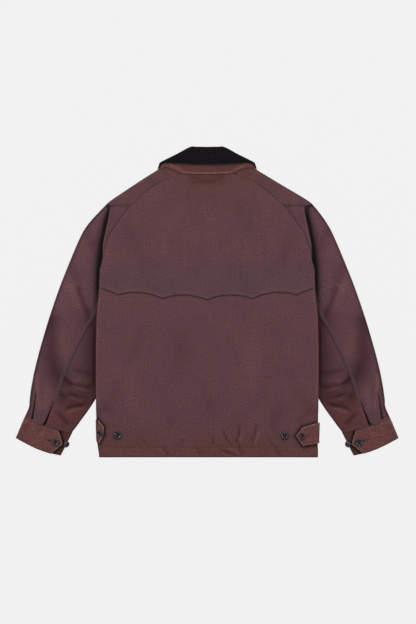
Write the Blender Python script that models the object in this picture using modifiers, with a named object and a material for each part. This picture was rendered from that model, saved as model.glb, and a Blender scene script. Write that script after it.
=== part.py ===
"""Waxed cotton jacket, laid flat on its front with its back up.

Metres, +Z up. +Y runs from the hem to the collar and +X to the sleeve on the right of the back.
Every cloth piece is an open sheet through rows of points, made a wall by Solidify. The rows are
worked out from the outlines below, whose first column is the distance up from the hem.
"""
import math

import bpy
import numpy as np
from mathutils import Vector

# ---- driving dimensions -------------------------------------------------------------------------
BACK_LENGTH = 0.775          # hem to the top of the folded collar
CLOTH = 0.0012               # one ply of waxed cotton
CUFF_WALL = 0.0016           # two plies, stitched flat
CORD_WALL = 0.0016           # corduroy of the collar
SEAM_GAP = 0.0003
LAYER = CLOTH + SEAM_GAP
FLOOR_PLY = CLOTH / 2        # height of the middle of a ply that lies on the floor
SLEEVE_TOP = 0.0055          # middle of the sleeve's upper ply, clear of the body
SLEEVE_UNDER_BODY = 0.0042   # the same where the body presses on it
LIP_HEIGHT = 0.0060          # ply that is turned under along the armhole fold
BACK_MID = 0.0054            # middle of the back's ply over the fronts
BACK_SIDE = 0.0085           # and over the sleeves
FRONT_OVER_SLEEVE = 0.0057
LIP = 0.004                  # length of a turned-under edge
FRONT_OVERLAP = 0.020        # the fronts cross the centre line by this much
ARMPIT = (0.190, 0.340)      # across, up
BUTTON_RADIUS = 0.0083
BUTTON_THICKNESS = 0.0026
RIM_RADIUS = 0.0073          # top of a button's rim
FACE_RADIUS = 0.0052         # sunk face inside the rim
FACE_DEPTH = 0.0007
HOLE_RADIUS = 0.0008
HOLE_OFFSET = 0.0021         # from the button's middle
CAPE_POINT_PITCH = 0.1115
CAPE_POINT_UP = 0.3915
CAPE_ARCH = 0.0122

# Columns: up, half width. Side of the body, where back turns under towards the front.
SIDE_FOLD = ((0.0, 0.2726), (0.026, 0.274), (0.143, 0.277), (0.343, 0.2755), (0.413, 0.2690),
             (0.466, 0.267), (0.518, 0.262), (0.561, 0.2535), (0.618, 0.2425), (0.640, 0.2425))
# Columns: up, half width. Outer edge of the shoulders above the shoulder seam.
SHOULDER_EDGE = ((0.620, 0.2705), (0.638, 0.2514), (0.658, 0.222), (0.678, 0.190), (0.698, 0.158),
                 (0.718, 0.1238))
# Columns: up, half width. Raglan seam of the back, neck last.
BACK_RAGLAN = ((0.498, 0.2605), (0.527, 0.2535), (0.558, 0.2437), (0.585, 0.2235), (0.6195, 0.1985),
               (0.642, 0.174), (0.669, 0.144), (0.6875, 0.1175), (0.7025, 0.0773), (0.712, 0.0655))
# Columns: up, half width. Raglan seam of the fronts.
FRONT_RAGLAN = ((0.340, 0.190), (0.440, 0.182), (0.540, 0.165), (0.620, 0.135), (0.690, 0.090),
                (0.718, 0.080))
# Columns: across, up. Neck seam of the back and shoulders.
NECK_SEAM = ((0.0, 0.7085), (0.0315, 0.7095), (0.0655, 0.7120), (0.085, 0.7205), (0.105, 0.7270),
             (0.1238, 0.7180))
# One row for each section of the sleeve, from the shoulder seam to the cuff. Columns: across and up
# of the outer fold, the back seam, the inner fold and the front seam.
SLEEVE = (
    (0.2650, 0.6245, 0.2375, 0.6245, None, None, 0.1340, 0.6245),
    (0.2970, 0.5855, 0.2375, 0.5850, None, None, 0.1520, 0.5750),
    (0.3185, 0.5455, 0.2385, 0.5300, None, None, 0.1700, 0.5150),
    (0.3520, 0.4655, 0.2430, 0.4550, None, None, 0.1830, 0.4300),
    (0.3720, 0.4135, 0.2710, 0.3735, 0.1900, 0.3400, 0.2150, 0.3500),
    (0.3950, 0.3455, 0.3065, 0.3100, 0.2215, 0.2700, 0.2480, 0.2820),
    (0.4145, 0.2800, 0.3355, 0.2480, 0.2467, 0.2121, 0.2740, 0.2230),
    (0.4288, 0.2255, 0.3575, 0.1970, 0.2703, 0.1614, 0.2980, 0.1730),
    (0.4380, 0.1800, 0.3720, 0.1530, 0.2943, 0.1219, 0.3220, 0.1330),
    (0.4430, 0.1445, 0.3865, 0.1215, 0.3154, 0.0929, 0.3420, 0.1035),
    (0.4446, 0.1255, 0.3950, 0.1045, 0.3265, 0.0775, 0.3540, 0.0890),
    (0.4550, 0.1010, 0.4040, 0.0838, 0.3370, 0.0640, 0.3650, 0.0727),
)
FIRST_UNDER_SECTION = 4      # the under sleeve starts at the armpit
# Cuff, one row for each line across it, top seam first. Columns: across and up of the outer fold,
# the tab's end and the inner fold.
CUFF = (
    (0.4555, 0.1000, 0.3710, 0.0675, 0.3375, 0.0625),
    (0.4612, 0.0870, 0.3650, 0.0500, 0.3445, 0.0480),
    (0.4666, 0.0740, 0.3600, 0.0325, 0.3515, 0.0335),
    (0.4720, 0.0610, 0.3762, 0.0219, 0.3590, 0.0190),
    (0.4775, 0.0480, 0.3905, 0.0136, 0.3665, 0.0045),
)
CUFF_BOTTOM_BOW = 0.008      # bulge of the cuff's bottom edge, down the arm
CUFF_UNDERLAP = 0.038        # length of the cuff's inner end under the tab
DOWN_THE_ARM = (-0.37, -0.93)   # direction of the bulge on the +X side
CUFF_UNDER = 0.0040          # middle of the cuff's inner end, under the tab
CUFF_TOP = 0.0059
# Collar, one row for each station from the centre back. Columns: across and up of the inside edge,
# the fold and the outer edge, then the heights of the inside and of the fall's edge.
COLLAR = (
    (0.0000, 0.7180, 0.0000, 0.7742, 0.0000, 0.7325, 0.0032, 0.0069),
    (0.0400, 0.7190, 0.0413, 0.7742, 0.0450, 0.7335, 0.0032, 0.0069),
    (0.0640, 0.7260, 0.0750, 0.7575, 0.0830, 0.7350, 0.0032, 0.0069),
    (0.0880, 0.7300, 0.1040, 0.7425, 0.1120, 0.7310, 0.0034, 0.0072),
    (0.1050, 0.7330, 0.1140, 0.7370, 0.1220, 0.7215, 0.0030, 0.0072),
    (0.1120, 0.7320, 0.1185, 0.7340, 0.1240, 0.7185, 0.0022, 0.0060),
)
# Collar leaf on the front. Columns: across and up of its neck edge and of its free edge.
COLLAR_LEAF = (
    (0.1110, 0.7290, 0.1215, 0.7080),
    (0.0750, 0.7220, 0.1000, 0.6560),
    (0.0270, 0.7000, 0.0640, 0.6420),
)
# Columns: across, up. Top edge of the stand.
STAND_EDGE = ((0.0, 0.766), (0.030, 0.766), (0.050, 0.757), (0.072, 0.748), (0.088, 0.740))
# Heights up of the rows above the end of the raglan seam, shared by the back and the cape.
RAGLAN_ROWS = (0.498, 0.527, 0.558, 0.585, 0.6195, 0.642, 0.669, 0.6875, 0.7025)
BACK_NECK = 0.0655           # half width of the back at the neck
NECK_SCOOP = 0.662           # top of the fronts at the centre
# Columns: up, half width. Armhole of the fronts, between the side and the raglan seam.
UNDERARM = ((0.300, 0.262), (0.320, 0.238), (0.338, 0.205), (0.352, 0.187))
# Side tabs of the hem. Columns: side of the body, across and up of the shoulders, the point's
# across and up, half the strip's width, and its start on the underside.
HEM_TABS = (
    ("right", 1, 0.2380, 0.0520, 0.2215, 0.0230, 0.2700),
    ("left", -1, 0.2620, 0.0580, 0.2555, 0.0230, 0.2330),
)
# Buttons that lie flat. Columns: name, across, up.
FLAT_BUTTONS = (
    ("button_hem_right_outer", 0.2360, 0.0525),
    ("button_hem_right_inner", 0.1935, 0.0525),
    ("button_hem_left_outer", -0.2655, 0.0590),
    ("button_hem_left_inner", -0.2238, 0.0540),
    ("button_cuff_right_outer", 0.3785, 0.0368),
    ("button_cuff_left_outer", -0.3785, 0.0368),
)
EDGE_BUTTON = (0.3516, 0.0325)   # across, up: on the rolled inner edge of each cuff
EDGE_BUTTON_HEIGHT = 0.0049
EDGE_BUTTON_LEAN = 33            # degrees
EDGE_BUTTON_FACES = (-0.894, -0.447)   # direction of the lean on the +X side


# ---- measures -----------------------------------------------------------------------------------
def along(table, value):
    """Second column of a table at a value of its first."""
    rows = np.array(table)
    return float(np.interp(value, rows[:, 0], rows[:, 1]))


def smooth(value):
    """0 below 0, 1 above 1, with a soft step between."""
    t = min(1.0, max(0.0, value))
    return t * t * (3 - 2 * t)


def inner_fold(up):
    """Distance across of the sleeve's inner fold, below the armpit."""
    rows = [(row[5], row[4]) for row in SLEEVE if row[4] is not None]
    return along(sorted(rows), up)


def hidden_sleeve(up):
    """How far in the sleeve reaches under the back."""
    return inner_fold(up) if up < ARMPIT[1] else ARMPIT[0]


def back_height(across, up):
    """Middle height of the back's ply."""
    over_sleeve = smooth((abs(across) - hidden_sleeve(up) + 0.060) / 0.034)
    fade = smooth((up - 0.100) / 0.025) * (1 - smooth((up - 0.632) / 0.03))
    return BACK_MID + (BACK_SIDE - BACK_MID) * over_sleeve * fade


def front_height(across, up):
    """Middle height of a front's ply: on the floor, the sleeve, a tab or a collar leaf."""
    x = abs(across)
    over_sleeve = smooth((x - inner_fold(up) + 0.048) / 0.030)
    over_sleeve *= smooth((up - 0.105) / 0.02) * (1 - smooth((up - ARMPIT[1] - 0.012) / 0.03))
    over_tab = smooth((x - 0.205) / 0.02) * (1 - smooth((up - 0.090) / 0.015))
    lift = max((FRONT_OVER_SLEEVE - FLOOR_PLY) * over_sleeve, (LAYER + 0.0002) * over_tab)
    return max(FLOOR_PLY + lift, shoulder_bottom(up))


def shoulder_bottom(up):
    """Middle height of the lower ply near the neck, where it lies on a collar leaf."""
    return FLOOR_PLY + (CORD_WALL + SEAM_GAP) * smooth((up - 0.622) / 0.016)


def flat_columns(edge):
    """Where the back's columns stand between the centre line and the start of its edge."""
    full = along(SIDE_FOLD, 0.41) - 0.004
    return [i * CAPE_POINT_PITCH / 4 * (edge - 0.004) / full for i in range(10)]


def cape_edge(across):
    """Scalloped lower edge of the cape: arches between downward points."""
    wave = abs(math.sin(math.pi * across / CAPE_POINT_PITCH)) ** 0.7
    return CAPE_POINT_UP + 0.25 * across * across + CAPE_ARCH * wave


# ---- making sheets ------------------------------------------------------------------------------
def line(start, end, count):
    """Points from start to end, both included."""
    return [tuple(np.add(start, np.subtract(end, start) * i / count)) for i in range(count + 1)]


def curl(edge, inward, high, low, steps=4):
    """Half round from a ply at one height to a ply at another, bulging to the fold's edge."""
    radius = abs(high - low) / 2
    middle = (high + low) / 2
    points = []
    for i in range(steps + 1):
        angle = math.pi * i / steps
        back_off = radius * (1 - math.sin(angle))
        height = middle + (high - low) / 2 * math.cos(angle)
        points.append((edge[0] + inward[0] * back_off, edge[1] + inward[1] * back_off, height))
    return points


def unit(start, end):
    """Direction from one point to another, seen from above."""
    dx, dy = end[0] - start[0], end[1] - start[1]
    length = math.hypot(dx, dy)
    return dx / length, dy / length


def flip(rows, side):
    """Rows for one side of the jacket from those of the +X side."""
    return [[(side * x, y, z) for x, y, z in row] for row in rows]


def both_sides(half):
    """A whole row from its +X half, which starts on the centre line."""
    return [(-x, y, z) for x, y, z in reversed(half[1:])] + half


def place(name, mesh, material):
    """Put a mesh in the jacket's collection, under its origin."""
    obj = bpy.data.objects.new(name, mesh)
    jacket.objects.link(obj)
    obj.parent = origin
    mesh.materials.append(material)
    return obj


def sheet(name, rows, material, wall=CLOTH):
    """A cloth wall through rows of points that all have the same count."""
    width = len(rows[0])
    points = [p for row in rows for p in row]
    faces = []
    for r in range(len(rows) - 1):
        for c in range(width - 1):
            first = r * width + c
            faces.append((first, first + 1, first + width + 1, first + width))
    mesh = bpy.data.meshes.new(name)
    mesh.from_pydata(points, [], faces)
    mesh.shade_smooth()
    obj = place(name, mesh, material)
    solid = obj.modifiers.new("wall", "SOLIDIFY")
    solid.thickness = wall
    solid.offset = 0.0
    return obj


def finish(name, colour, roughness):
    """One plain material."""
    material = bpy.data.materials.new(name)
    material.use_nodes = True
    shader = material.node_tree.nodes["Principled BSDF"]
    shader.inputs["Base Color"].default_value = (*colour, 1.0)
    shader.inputs["Roughness"].default_value = roughness
    shader.inputs["Metallic"].default_value = 0.0
    return material


# ---- body ---------------------------------------------------------------------------------------
def make_back():
    """Back, turned under at the sides up to the armhole, then cut along the raglan seam."""
    rows = []
    for up in (0.0, 0.045, 0.085, 0.105, 0.125, 0.16, 0.25, 0.335, 0.38, 0.432, 0.475):
        edge = along(SIDE_FOLD, up)
        low = front_height(edge - LIP, up) if up < ARMPIT[1] else LIP_HEIGHT
        turn = curl((edge, up), (-1, 0), back_height(edge, up), low)
        half = [(x, up, back_height(x, up)) for x in flat_columns(edge)] + turn
        rows.append(both_sides(half + [(turn[-1][0] - LIP, up, low)]))
    for up in RAGLAN_ROWS:
        edge = along(BACK_RAGLAN, up) - SEAM_GAP
        columns = flat_columns(edge) + [p[0] for p in line((edge - 0.003, 0), (edge, 0), 5)]
        rows.append(both_sides([(x, up, back_height(x, up)) for x in columns]))
    edge = BACK_NECK - SEAM_GAP
    columns = flat_columns(edge) + [p[0] for p in line((edge - 0.003, 0), (edge, 0), 5)]
    rows.append(both_sides([(x, along(NECK_SEAM, x), BACK_MID) for x in columns]))
    sheet("back", rows, waxed)


def make_cape():
    """Cape over the upper back: the back's own points, moved out by a layer."""
    level = 0.41
    edge = along(SIDE_FOLD, level)
    columns = flat_columns(edge) + [edge - 0.003]
    rows = [both_sides([(x, cape_edge(x), back_height(x, level) + LAYER) for x in columns])]
    for up in (0.432, 0.475):
        edge = along(SIDE_FOLD, up)
        columns = flat_columns(edge) + [edge - 0.003]
        rows.append(both_sides([(x, up, back_height(x, up) + LAYER) for x in columns]))
    for up in RAGLAN_ROWS:
        edge = along(BACK_RAGLAN, up) - SEAM_GAP
        columns = flat_columns(edge) + [edge]
        rows.append(both_sides([(x, up, back_height(x, up) + LAYER) for x in columns]))
    edge = BACK_NECK - SEAM_GAP
    columns = flat_columns(edge) + [edge]
    rows.append(both_sides([(x, along(NECK_SEAM, x), BACK_MID + LAYER) for x in columns]))
    sheet("cape", rows, waxed)


def make_front(name, side):
    """Front on the floor, over the sleeve at the side, under or over the other at the centre."""
    outline = []
    for up in (0.0, 0.045, 0.085, 0.105, 0.125, 0.16, 0.25):
        edge = along(SIDE_FOLD, up)
        radius = (back_height(edge, up) - front_height(edge - LIP, up)) / 2
        outline.append((up, edge - radius - LIP - SEAM_GAP))
    outline += list(UNDERARM)
    outline += [(up, along(FRONT_RAGLAN, up) - 0.0008) for up in (0.41, 0.49, 0.57, 0.62, 0.642, 0.656)]
    outline.append((None, along(FRONT_RAGLAN, 0.690) - 0.0008))
    rows = []
    for up, edge in outline:
        level = 0.66 if up is None else up
        ramp_end = min(inner_fold(max(level, 0.01)) - 0.016, edge - 0.012)
        ramp_start = min(ramp_end - 0.034, edge - 0.040)
        columns = [-FRONT_OVERLAP, 0.0, FRONT_OVERLAP, FRONT_OVERLAP + 0.015]
        columns += [p[0] for p in line((columns[-1], 0), (ramp_start, 0), 3)][1:] + [ramp_end, edge]
        row = []
        for x in columns:
            y = NECK_SCOOP + 0.024 * smooth((x - FRONT_OVERLAP) / 0.06) if up is None else up
            over = LAYER * (1 - smooth((x - FRONT_OVERLAP) / 0.012)) if side < 0 else 0.0
            row.append((x, y, front_height(x, y) + over))
        rows.append(row)
    sheet(name, flip(rows, side), waxed)


def make_shoulder(name, side):
    """Raglan shoulder: over the shoulder to the front, and down to the side fold at the back."""
    rows = []
    for up in (0.503, 0.527, 0.558, 0.585, 0.6195, 0.6250):
        start = along(BACK_RAGLAN, up) + SEAM_GAP
        edge = along(SIDE_FOLD, up)
        turn = curl((edge, up), (-1, 0), back_height(edge, up), LIP_HEIGHT)
        start = min(start, turn[0][0] - 0.0015)
        top = [(x, y, back_height(x, y)) for x, y, z in line((start, up, 0), (turn[0][0], up, 0), 4)[:-1]]
        lip = line(turn[-1], (turn[-1][0] - 0.003, up, LIP_HEIGHT), 4)[1:]
        rows.append(top + turn + lip)
    for up in (0.6285, 0.642, 0.669, 0.6875, 0.7025):
        start = along(BACK_RAGLAN, up) + SEAM_GAP
        edge = along(SHOULDER_EDGE, up)
        turn = curl((edge, up), (-1, 0), back_height(edge, up), shoulder_bottom(up))
        top = [(x, y, back_height(x, y)) for x, y, z in line((start, up, 0), (turn[0][0], up, 0), 4)[:-1]]
        seam = (along(FRONT_RAGLAN, up) + 0.0008, up, shoulder_bottom(up))
        rows.append(top + turn + line(turn[-1], seam, 4)[1:])
    low = shoulder_bottom(NECK_SEAM[-1][1])
    turn = curl(NECK_SEAM[-1], (-1, 0), BACK_MID, low)
    top = [(x, along(NECK_SEAM, x), BACK_MID) for x in (0.0661, 0.080, 0.095, 0.110)]
    rows.append(top + turn + line(turn[-1], (0.112, 0.7120, low), 4)[1:])
    sheet(name, flip(rows, side), waxed)


# ---- sleeves ------------------------------------------------------------------------------------
def sleeve_height(x, y):
    """Middle height of the sleeve's upper ply: lower where the body lies on it."""
    edge = along(SIDE_FOLD, y)
    clear = smooth((x - edge - 0.002) / 0.03)
    return SLEEVE_UNDER_BODY + (SLEEVE_TOP - SLEEVE_UNDER_BODY) * clear


def make_sleeve(side, suffix):
    """Upper sleeve, from the back seam round the outer fold to the front seam, and under sleeve."""
    upper, under = [], []
    for index, row in enumerate(SLEEVE):
        outer, seam, inner, front = (row[0], row[1]), (row[2], row[3]), (row[4], row[5]), (row[6], row[7])
        inward = unit(outer, seam)
        top_height = sleeve_height(*outer)
        turn = curl(outer, inward, top_height, FLOOR_PLY)
        top = [(x, y, sleeve_height(x, y)) for x, y, z in line((*seam, 0), turn[0], 3)[:-1]]
        upper.append(top + turn + line(turn[-1], (*front, FLOOR_PLY), 3)[1:])
        if index < FIRST_UNDER_SECTION:
            continue
        gap = 2 * SEAM_GAP
        to_seam = unit(inner, seam)
        start = (seam[0] - gap * to_seam[0], seam[1] - gap * to_seam[1])
        to_front = unit(inner, front)
        end = (front[0] - gap * to_front[0], front[1] - gap * to_front[1])
        turn = curl(inner, to_seam, sleeve_height(*inner), FLOOR_PLY)
        top = [(x, y, sleeve_height(x, y)) for x, y, z in line((*start, 0), turn[0], 3)[:-1]]
        under.append(top + turn + line(turn[-1], (*end, FLOOR_PLY), 2)[1:])
    sheet("sleeve_upper_" + suffix, flip(upper, side), waxed)
    sheet("sleeve_under_" + suffix, flip(under, side), waxed)


def make_cuff(side, suffix):
    """Cuff: one band from its pointed tab round the wrist to the end that lies under the tab."""
    rows = []
    last = len(CUFF) - 1
    for index, (ox, oy, tx, ty, nx, ny) in enumerate(CUFF):
        outer, tab, inner = (ox, oy), (tx, ty), (nx, ny)
        bow = CUFF_BOTTOM_BOW * (index / last) ** 2

        def bowed(x, y, z):
            """Move a point down the arm by its share of the bottom edge's curve."""
            share = math.sin(math.pi * min(1.0, max(0.0, (x - nx) / (ox - nx))))
            return x + DOWN_THE_ARM[0] * bow * share, y + DOWN_THE_ARM[1] * bow * share, z

        outer_turn = curl(outer, unit(outer, inner), CUFF_TOP, CUFF_WALL / 2)
        inner_turn = curl(inner, unit(inner, outer), CUFF_WALL / 2, CUFF_UNDER)
        across = unit(inner, outer)
        start = inner_turn[-1]
        end = (start[0] + across[0] * CUFF_UNDERLAP, start[1] + across[1] * CUFF_UNDERLAP, CUFF_UNDER)
        path = line((*tab, CUFF_TOP), outer_turn[0], 5)[:-1] + outer_turn
        path += line(outer_turn[-1], inner_turn[0], 5)[1:-1] + inner_turn
        path += line(inner_turn[-1], end, 2)[1:]
        rows.append([bowed(*p) for p in path])
    sheet("cuff_" + suffix, flip(rows, side), waxed_worn, CUFF_WALL)


# ---- collar -------------------------------------------------------------------------------------
def make_collar():
    """Corduroy collar folded over at the back and rolled over the shoulders at both ends."""
    half = []
    for ix, iy, fx, fy, ex, ey, inside, outside in COLLAR:
        to_edge = unit((fx, fy), (ex, ey))
        turn = curl((fx, fy), to_edge, inside, outside)
        half.append(line((ix, iy, inside), turn[0], 2)[:-1] + turn + line(turn[-1], (ex, ey, outside), 3)[1:])
    mirrored = [[(-x, y, z) for x, y, z in row] for row in reversed(half[1:])]
    sheet("collar", mirrored + half, corduroy, CORD_WALL)


def make_stand():
    """Stand: from the neck seam up between the collar's two sides."""
    half = []
    for x, top in STAND_EDGE:
        low = along(NECK_SEAM, x) + 0.0006
        half.append([(x, low + (top - low) * i / 3, BACK_MID - 0.0003) for i in range(4)])
    mirrored = [[(-x, y, z) for x, y, z in row] for row in reversed(half[1:])]
    sheet("collar_stand", mirrored + half, waxed_worn)


def make_leaf(side, suffix):
    """Front leaf of the collar, flat on the floor under the fronts."""
    rows = []
    for nx, ny, fx, fy in COLLAR_LEAF:
        rows.append(line((nx, ny, CORD_WALL / 2), (fx, fy, CORD_WALL / 2), 3))
    sheet("collar_leaf_" + suffix, flip(rows, side), corduroy, CORD_WALL)


# ---- tabs and buttons ---------------------------------------------------------------------------
def make_hem_tab(suffix, side, shoulder, middle, point, half_width, start):
    """Pointed strip that comes round the side fold from the front."""
    rows = []
    for share in (-1.0, -0.5, 0.0, 0.5, 1.0):
        up = middle + share * half_width
        edge = along(SIDE_FOLD, up) + LAYER + 0.0002
        low = FLOOR_PLY
        high = back_height(edge - 0.02, up) + LAYER
        end = point + (shoulder - point) * abs(share)
        turn = curl((edge, up), (-1, 0), low, high, 6)
        rows.append(line((start, up, low), turn[0], 3)[:-1] + turn + line(turn[-1], (end, up, high), 3)[1:])
    sheet("hem_tab_" + suffix, flip(rows, side), waxed_worn)


def button_mesh():
    """Turned four-hole button, its back at height 0."""
    body = bpy.data.meshes.new("button")
    rim, face = BUTTON_THICKNESS, BUTTON_THICKNESS - FACE_DEPTH
    profile = ((0.0, 0.0), (BUTTON_RADIUS, 0.0006), (RIM_RADIUS, rim), (FACE_RADIUS, face), (0.0, face))
    points = [(radius, 0.0, height) for radius, height in profile]
    body.from_pydata(points, [(i, i + 1) for i in range(len(points) - 1)], [])
    turned = bpy.data.objects.new("turned", body)
    guides.objects.link(turned)
    screw = turned.modifiers.new("turn", "SCREW")
    screw.steps = screw.render_steps = 12
    screw.use_merge_vertices = True
    screw.merge_threshold = 0.00001
    screw.use_normal_calculate = True
    for i in range(4):
        angle = math.radians(45 + 90 * i)
        bpy.ops.mesh.primitive_cylinder_add(vertices=5, radius=HOLE_RADIUS, depth=0.01)
        cutter = bpy.context.object
        cutter.location = (HOLE_OFFSET * math.cos(angle), HOLE_OFFSET * math.sin(angle), 0)
        cutter.name = "button_hole_%d" % i
        for owner in list(cutter.users_collection):
            owner.objects.unlink(cutter)
        guides.objects.link(cutter)
        cutter.hide_render = True
        cutter.display_type = "WIRE"
        cut = turned.modifiers.new("hole", "BOOLEAN")
        cut.operation = "DIFFERENCE"
        cut.solver = "EXACT"
        cut.object = cutter
    bpy.context.view_layer.update()
    seen = turned.evaluated_get(bpy.context.evaluated_depsgraph_get())
    mesh = bpy.data.meshes.new_from_object(seen)
    bpy.data.objects.remove(turned)
    for cutter in list(guides.objects):
        bpy.data.objects.remove(cutter)
    return mesh


def button_seat(x, y):
    """Height of the cloth's top under a button."""
    if abs(x) > 0.3:
        return CUFF_TOP + CUFF_WALL / 2
    if abs(x) > 0.23:
        return back_height(abs(x) - 0.005, y) + LAYER + CLOTH / 2
    return back_height(x, y) + CLOTH / 2


def make_buttons():
    """Four on the hem and two on each cuff."""
    shape = button_mesh()
    shape.materials.clear()
    shape.materials.append(horn)
    for name, x, y in FLAT_BUTTONS:
        button = bpy.data.objects.new(name, shape)
        jacket.objects.link(button)
        button.parent = origin
        button.location = (x, y, button_seat(x, y) + SEAM_GAP)
    for side, suffix in ((1, "right"), (-1, "left")):
        button = bpy.data.objects.new("button_cuff_%s_inner" % suffix, shape)
        jacket.objects.link(button)
        button.parent = origin
        across, up = EDGE_BUTTON
        button.location = (side * across, up, EDGE_BUTTON_HEIGHT)
        lean = math.radians(EDGE_BUTTON_LEAN)
        away, down = EDGE_BUTTON_FACES
        facing = Vector((side * away * math.sin(lean), down * math.sin(lean), math.cos(lean)))
        button.rotation_mode = "QUATERNION"
        button.rotation_quaternion = Vector((0, 0, 1)).rotation_difference(facing)


for existing in list(bpy.data.objects):
    bpy.data.objects.remove(existing)
jacket = bpy.data.collections.new("waxed_jacket")
guides = bpy.data.collections.new("guides")
bpy.context.scene.collection.children.link(jacket)
bpy.context.scene.collection.children.link(guides)
origin = bpy.data.objects.new("jacket_origin", None)
origin.location = (0, -BACK_LENGTH / 2, 0)
jacket.objects.link(origin)

waxed = finish("waxed_cotton", (0.100, 0.041, 0.050), 0.55)
waxed_worn = finish("waxed_cotton_worn", (0.120, 0.043, 0.040), 0.5)
corduroy = finish("corduroy", (0.009, 0.007, 0.009), 0.9)
horn = finish("dark_button", (0.005, 0.007, 0.012), 0.3)

make_back()
make_cape()
make_front("front_right", 1)
make_front("front_left", -1)
for side, suffix in ((1, "right"), (-1, "left")):
    make_shoulder("shoulder_" + suffix, side)
    make_sleeve(side, suffix)
    make_cuff(side, suffix)
    make_leaf(side, suffix)
make_collar()
make_stand()
for tab in HEM_TABS:
    make_hem_tab(*tab)
make_buttons()
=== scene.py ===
import math

import bpy
import numpy as np
from mathutils import Matrix, Vector


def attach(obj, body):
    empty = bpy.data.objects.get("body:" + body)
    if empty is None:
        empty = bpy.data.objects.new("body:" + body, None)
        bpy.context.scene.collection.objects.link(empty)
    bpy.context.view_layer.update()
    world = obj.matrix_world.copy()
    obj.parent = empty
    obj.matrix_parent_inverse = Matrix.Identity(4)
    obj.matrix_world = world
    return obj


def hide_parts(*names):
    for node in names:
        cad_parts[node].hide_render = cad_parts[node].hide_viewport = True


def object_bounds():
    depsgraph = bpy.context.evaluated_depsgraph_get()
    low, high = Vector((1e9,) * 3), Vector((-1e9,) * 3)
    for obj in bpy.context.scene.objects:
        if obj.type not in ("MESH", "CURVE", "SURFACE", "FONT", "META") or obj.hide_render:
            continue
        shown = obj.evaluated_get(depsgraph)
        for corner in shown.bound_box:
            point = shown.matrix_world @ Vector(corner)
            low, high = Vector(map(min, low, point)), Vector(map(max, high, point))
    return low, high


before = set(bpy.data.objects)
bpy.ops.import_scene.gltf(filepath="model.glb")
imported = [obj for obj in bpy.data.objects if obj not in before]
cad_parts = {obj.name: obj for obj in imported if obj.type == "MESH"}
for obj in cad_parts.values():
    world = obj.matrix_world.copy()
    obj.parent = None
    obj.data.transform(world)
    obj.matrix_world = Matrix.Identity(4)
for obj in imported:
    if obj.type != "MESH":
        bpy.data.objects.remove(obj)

CAD_BOX = [list(corner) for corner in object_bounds()]
HEM = CAD_BOX[0][1]          # the hem's place along Y; "up" below is the distance from it

# ---- sizes, in metres -----------------------------------------------------------------------------
CLOTH = 0.0012
CUFF_WALL = 0.0016
CORD_WALL = 0.0016
GAP = 0.0003
LAYER = CLOTH + GAP
FLOOR_PLY = CLOTH / 2
LIP = 0.004
LIP_HEIGHT = 0.0060
BODY_MID = 0.0062            # middle of the back's ply over the fronts
BODY_SIDE = 0.0118           # and over the sleeves
BODY_HEM_SIDE = 0.0074       # and at the sides of the hem
FRONT_OVER_SLEEVE = 0.0058
SLEEVE_VALLEY = 0.0030       # the sleeve's upper ply where the body presses on it
SLEEVE_RIM = 0.0056          # and at its folds
SLEEVE_CROWN = 0.0125        # and at its fullest
FRONT_OVERLAP = 0.020
ARMPIT = (0.190, 0.340)
SHOULDER_SEAM = 0.6268
SHOULDER_SLANT = 0.40        # the shoulder's lower edge rises this much beyond SLANT_FROM
SLANT_FROM = 0.2425
RAGLAN_END = 0.498           # the back's seam starts at this distance up
RAGLAN_GAP = 0.0008          # the fronts, shoulders and sleeves stay this clear of their seam
CAPE_PITCH = 0.1115
CAPE_POINT_UP = 0.3915
CAPE_ARCH = 0.0122
CAPE_LEVEL = 0.465           # rows of the cape are level above this
CAPE_INSET = 0.0042          # the cape stays this far inside the side folds
HEM_STITCH = 0.0245
TAB_PROUD = 0.0044           # the right hem tab stands off the side fold
LEFT_TAB_PROUD = 0.0018      # and the left one less
TAB_LIFT = 0.0018            # and off the back
BACK_NECK = 0.0655
NECK_SCOOP = 0.662
BUTTON_RADIUS = 0.0083
HEM_LEAN = 0.0034            # the hem lies this much to one side of the centre line
SHOULDER_LEAN = 0.0055       # and the shoulders this much
STAND_LAP = 0.0020           # the stand laps over the neck edge of the cape and shoulders

# Outlines. Columns: up, half width.
SIDE_FOLD = (
    (0.0, 0.2726), (0.026, 0.2742), (0.085, 0.2762), (0.143, 0.277), (0.250, 0.2772), (0.343, 0.2755),
    (0.413, 0.2692), (0.466, 0.267), (0.518, 0.262), (0.561, 0.2535), (0.618, 0.2425), (0.640, 0.2400),
)
SHOULDER_EDGE = (
    (0.600, 0.2880), (0.620, 0.2698), (0.638, 0.2488), (0.658, 0.2187), (0.678, 0.1867), (0.698, 0.1548),
    (0.718, 0.1222),
)
BACK_RAGLAN = (
    (0.498, 0.2605), (0.527, 0.2535), (0.558, 0.2420), (0.585, 0.2235), (0.6195, 0.1985), (0.642, 0.174),
    (0.669, 0.144), (0.6875, 0.1165), (0.7025, 0.0773), (0.712, 0.0655),
)
FRONT_RAGLAN = (
    (0.340, 0.190), (0.440, 0.182), (0.540, 0.165), (0.620, 0.135), (0.690, 0.090), (0.718, 0.080),
)
UNDERARM_END = 0.29          # the fronts end at the side fold below this
FRONT_TOP = 0.690
UNDERARM = ((0.300, 0.262), (0.320, 0.238), (0.338, 0.205), (0.352, 0.187))
# Columns: across, up.
NECK_SEAM = (
    (0.0, 0.7085), (0.0315, 0.7095), (0.0655, 0.7120), (0.085, 0.7205), (0.105, 0.7270), (0.1238, 0.7180),
)
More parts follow.
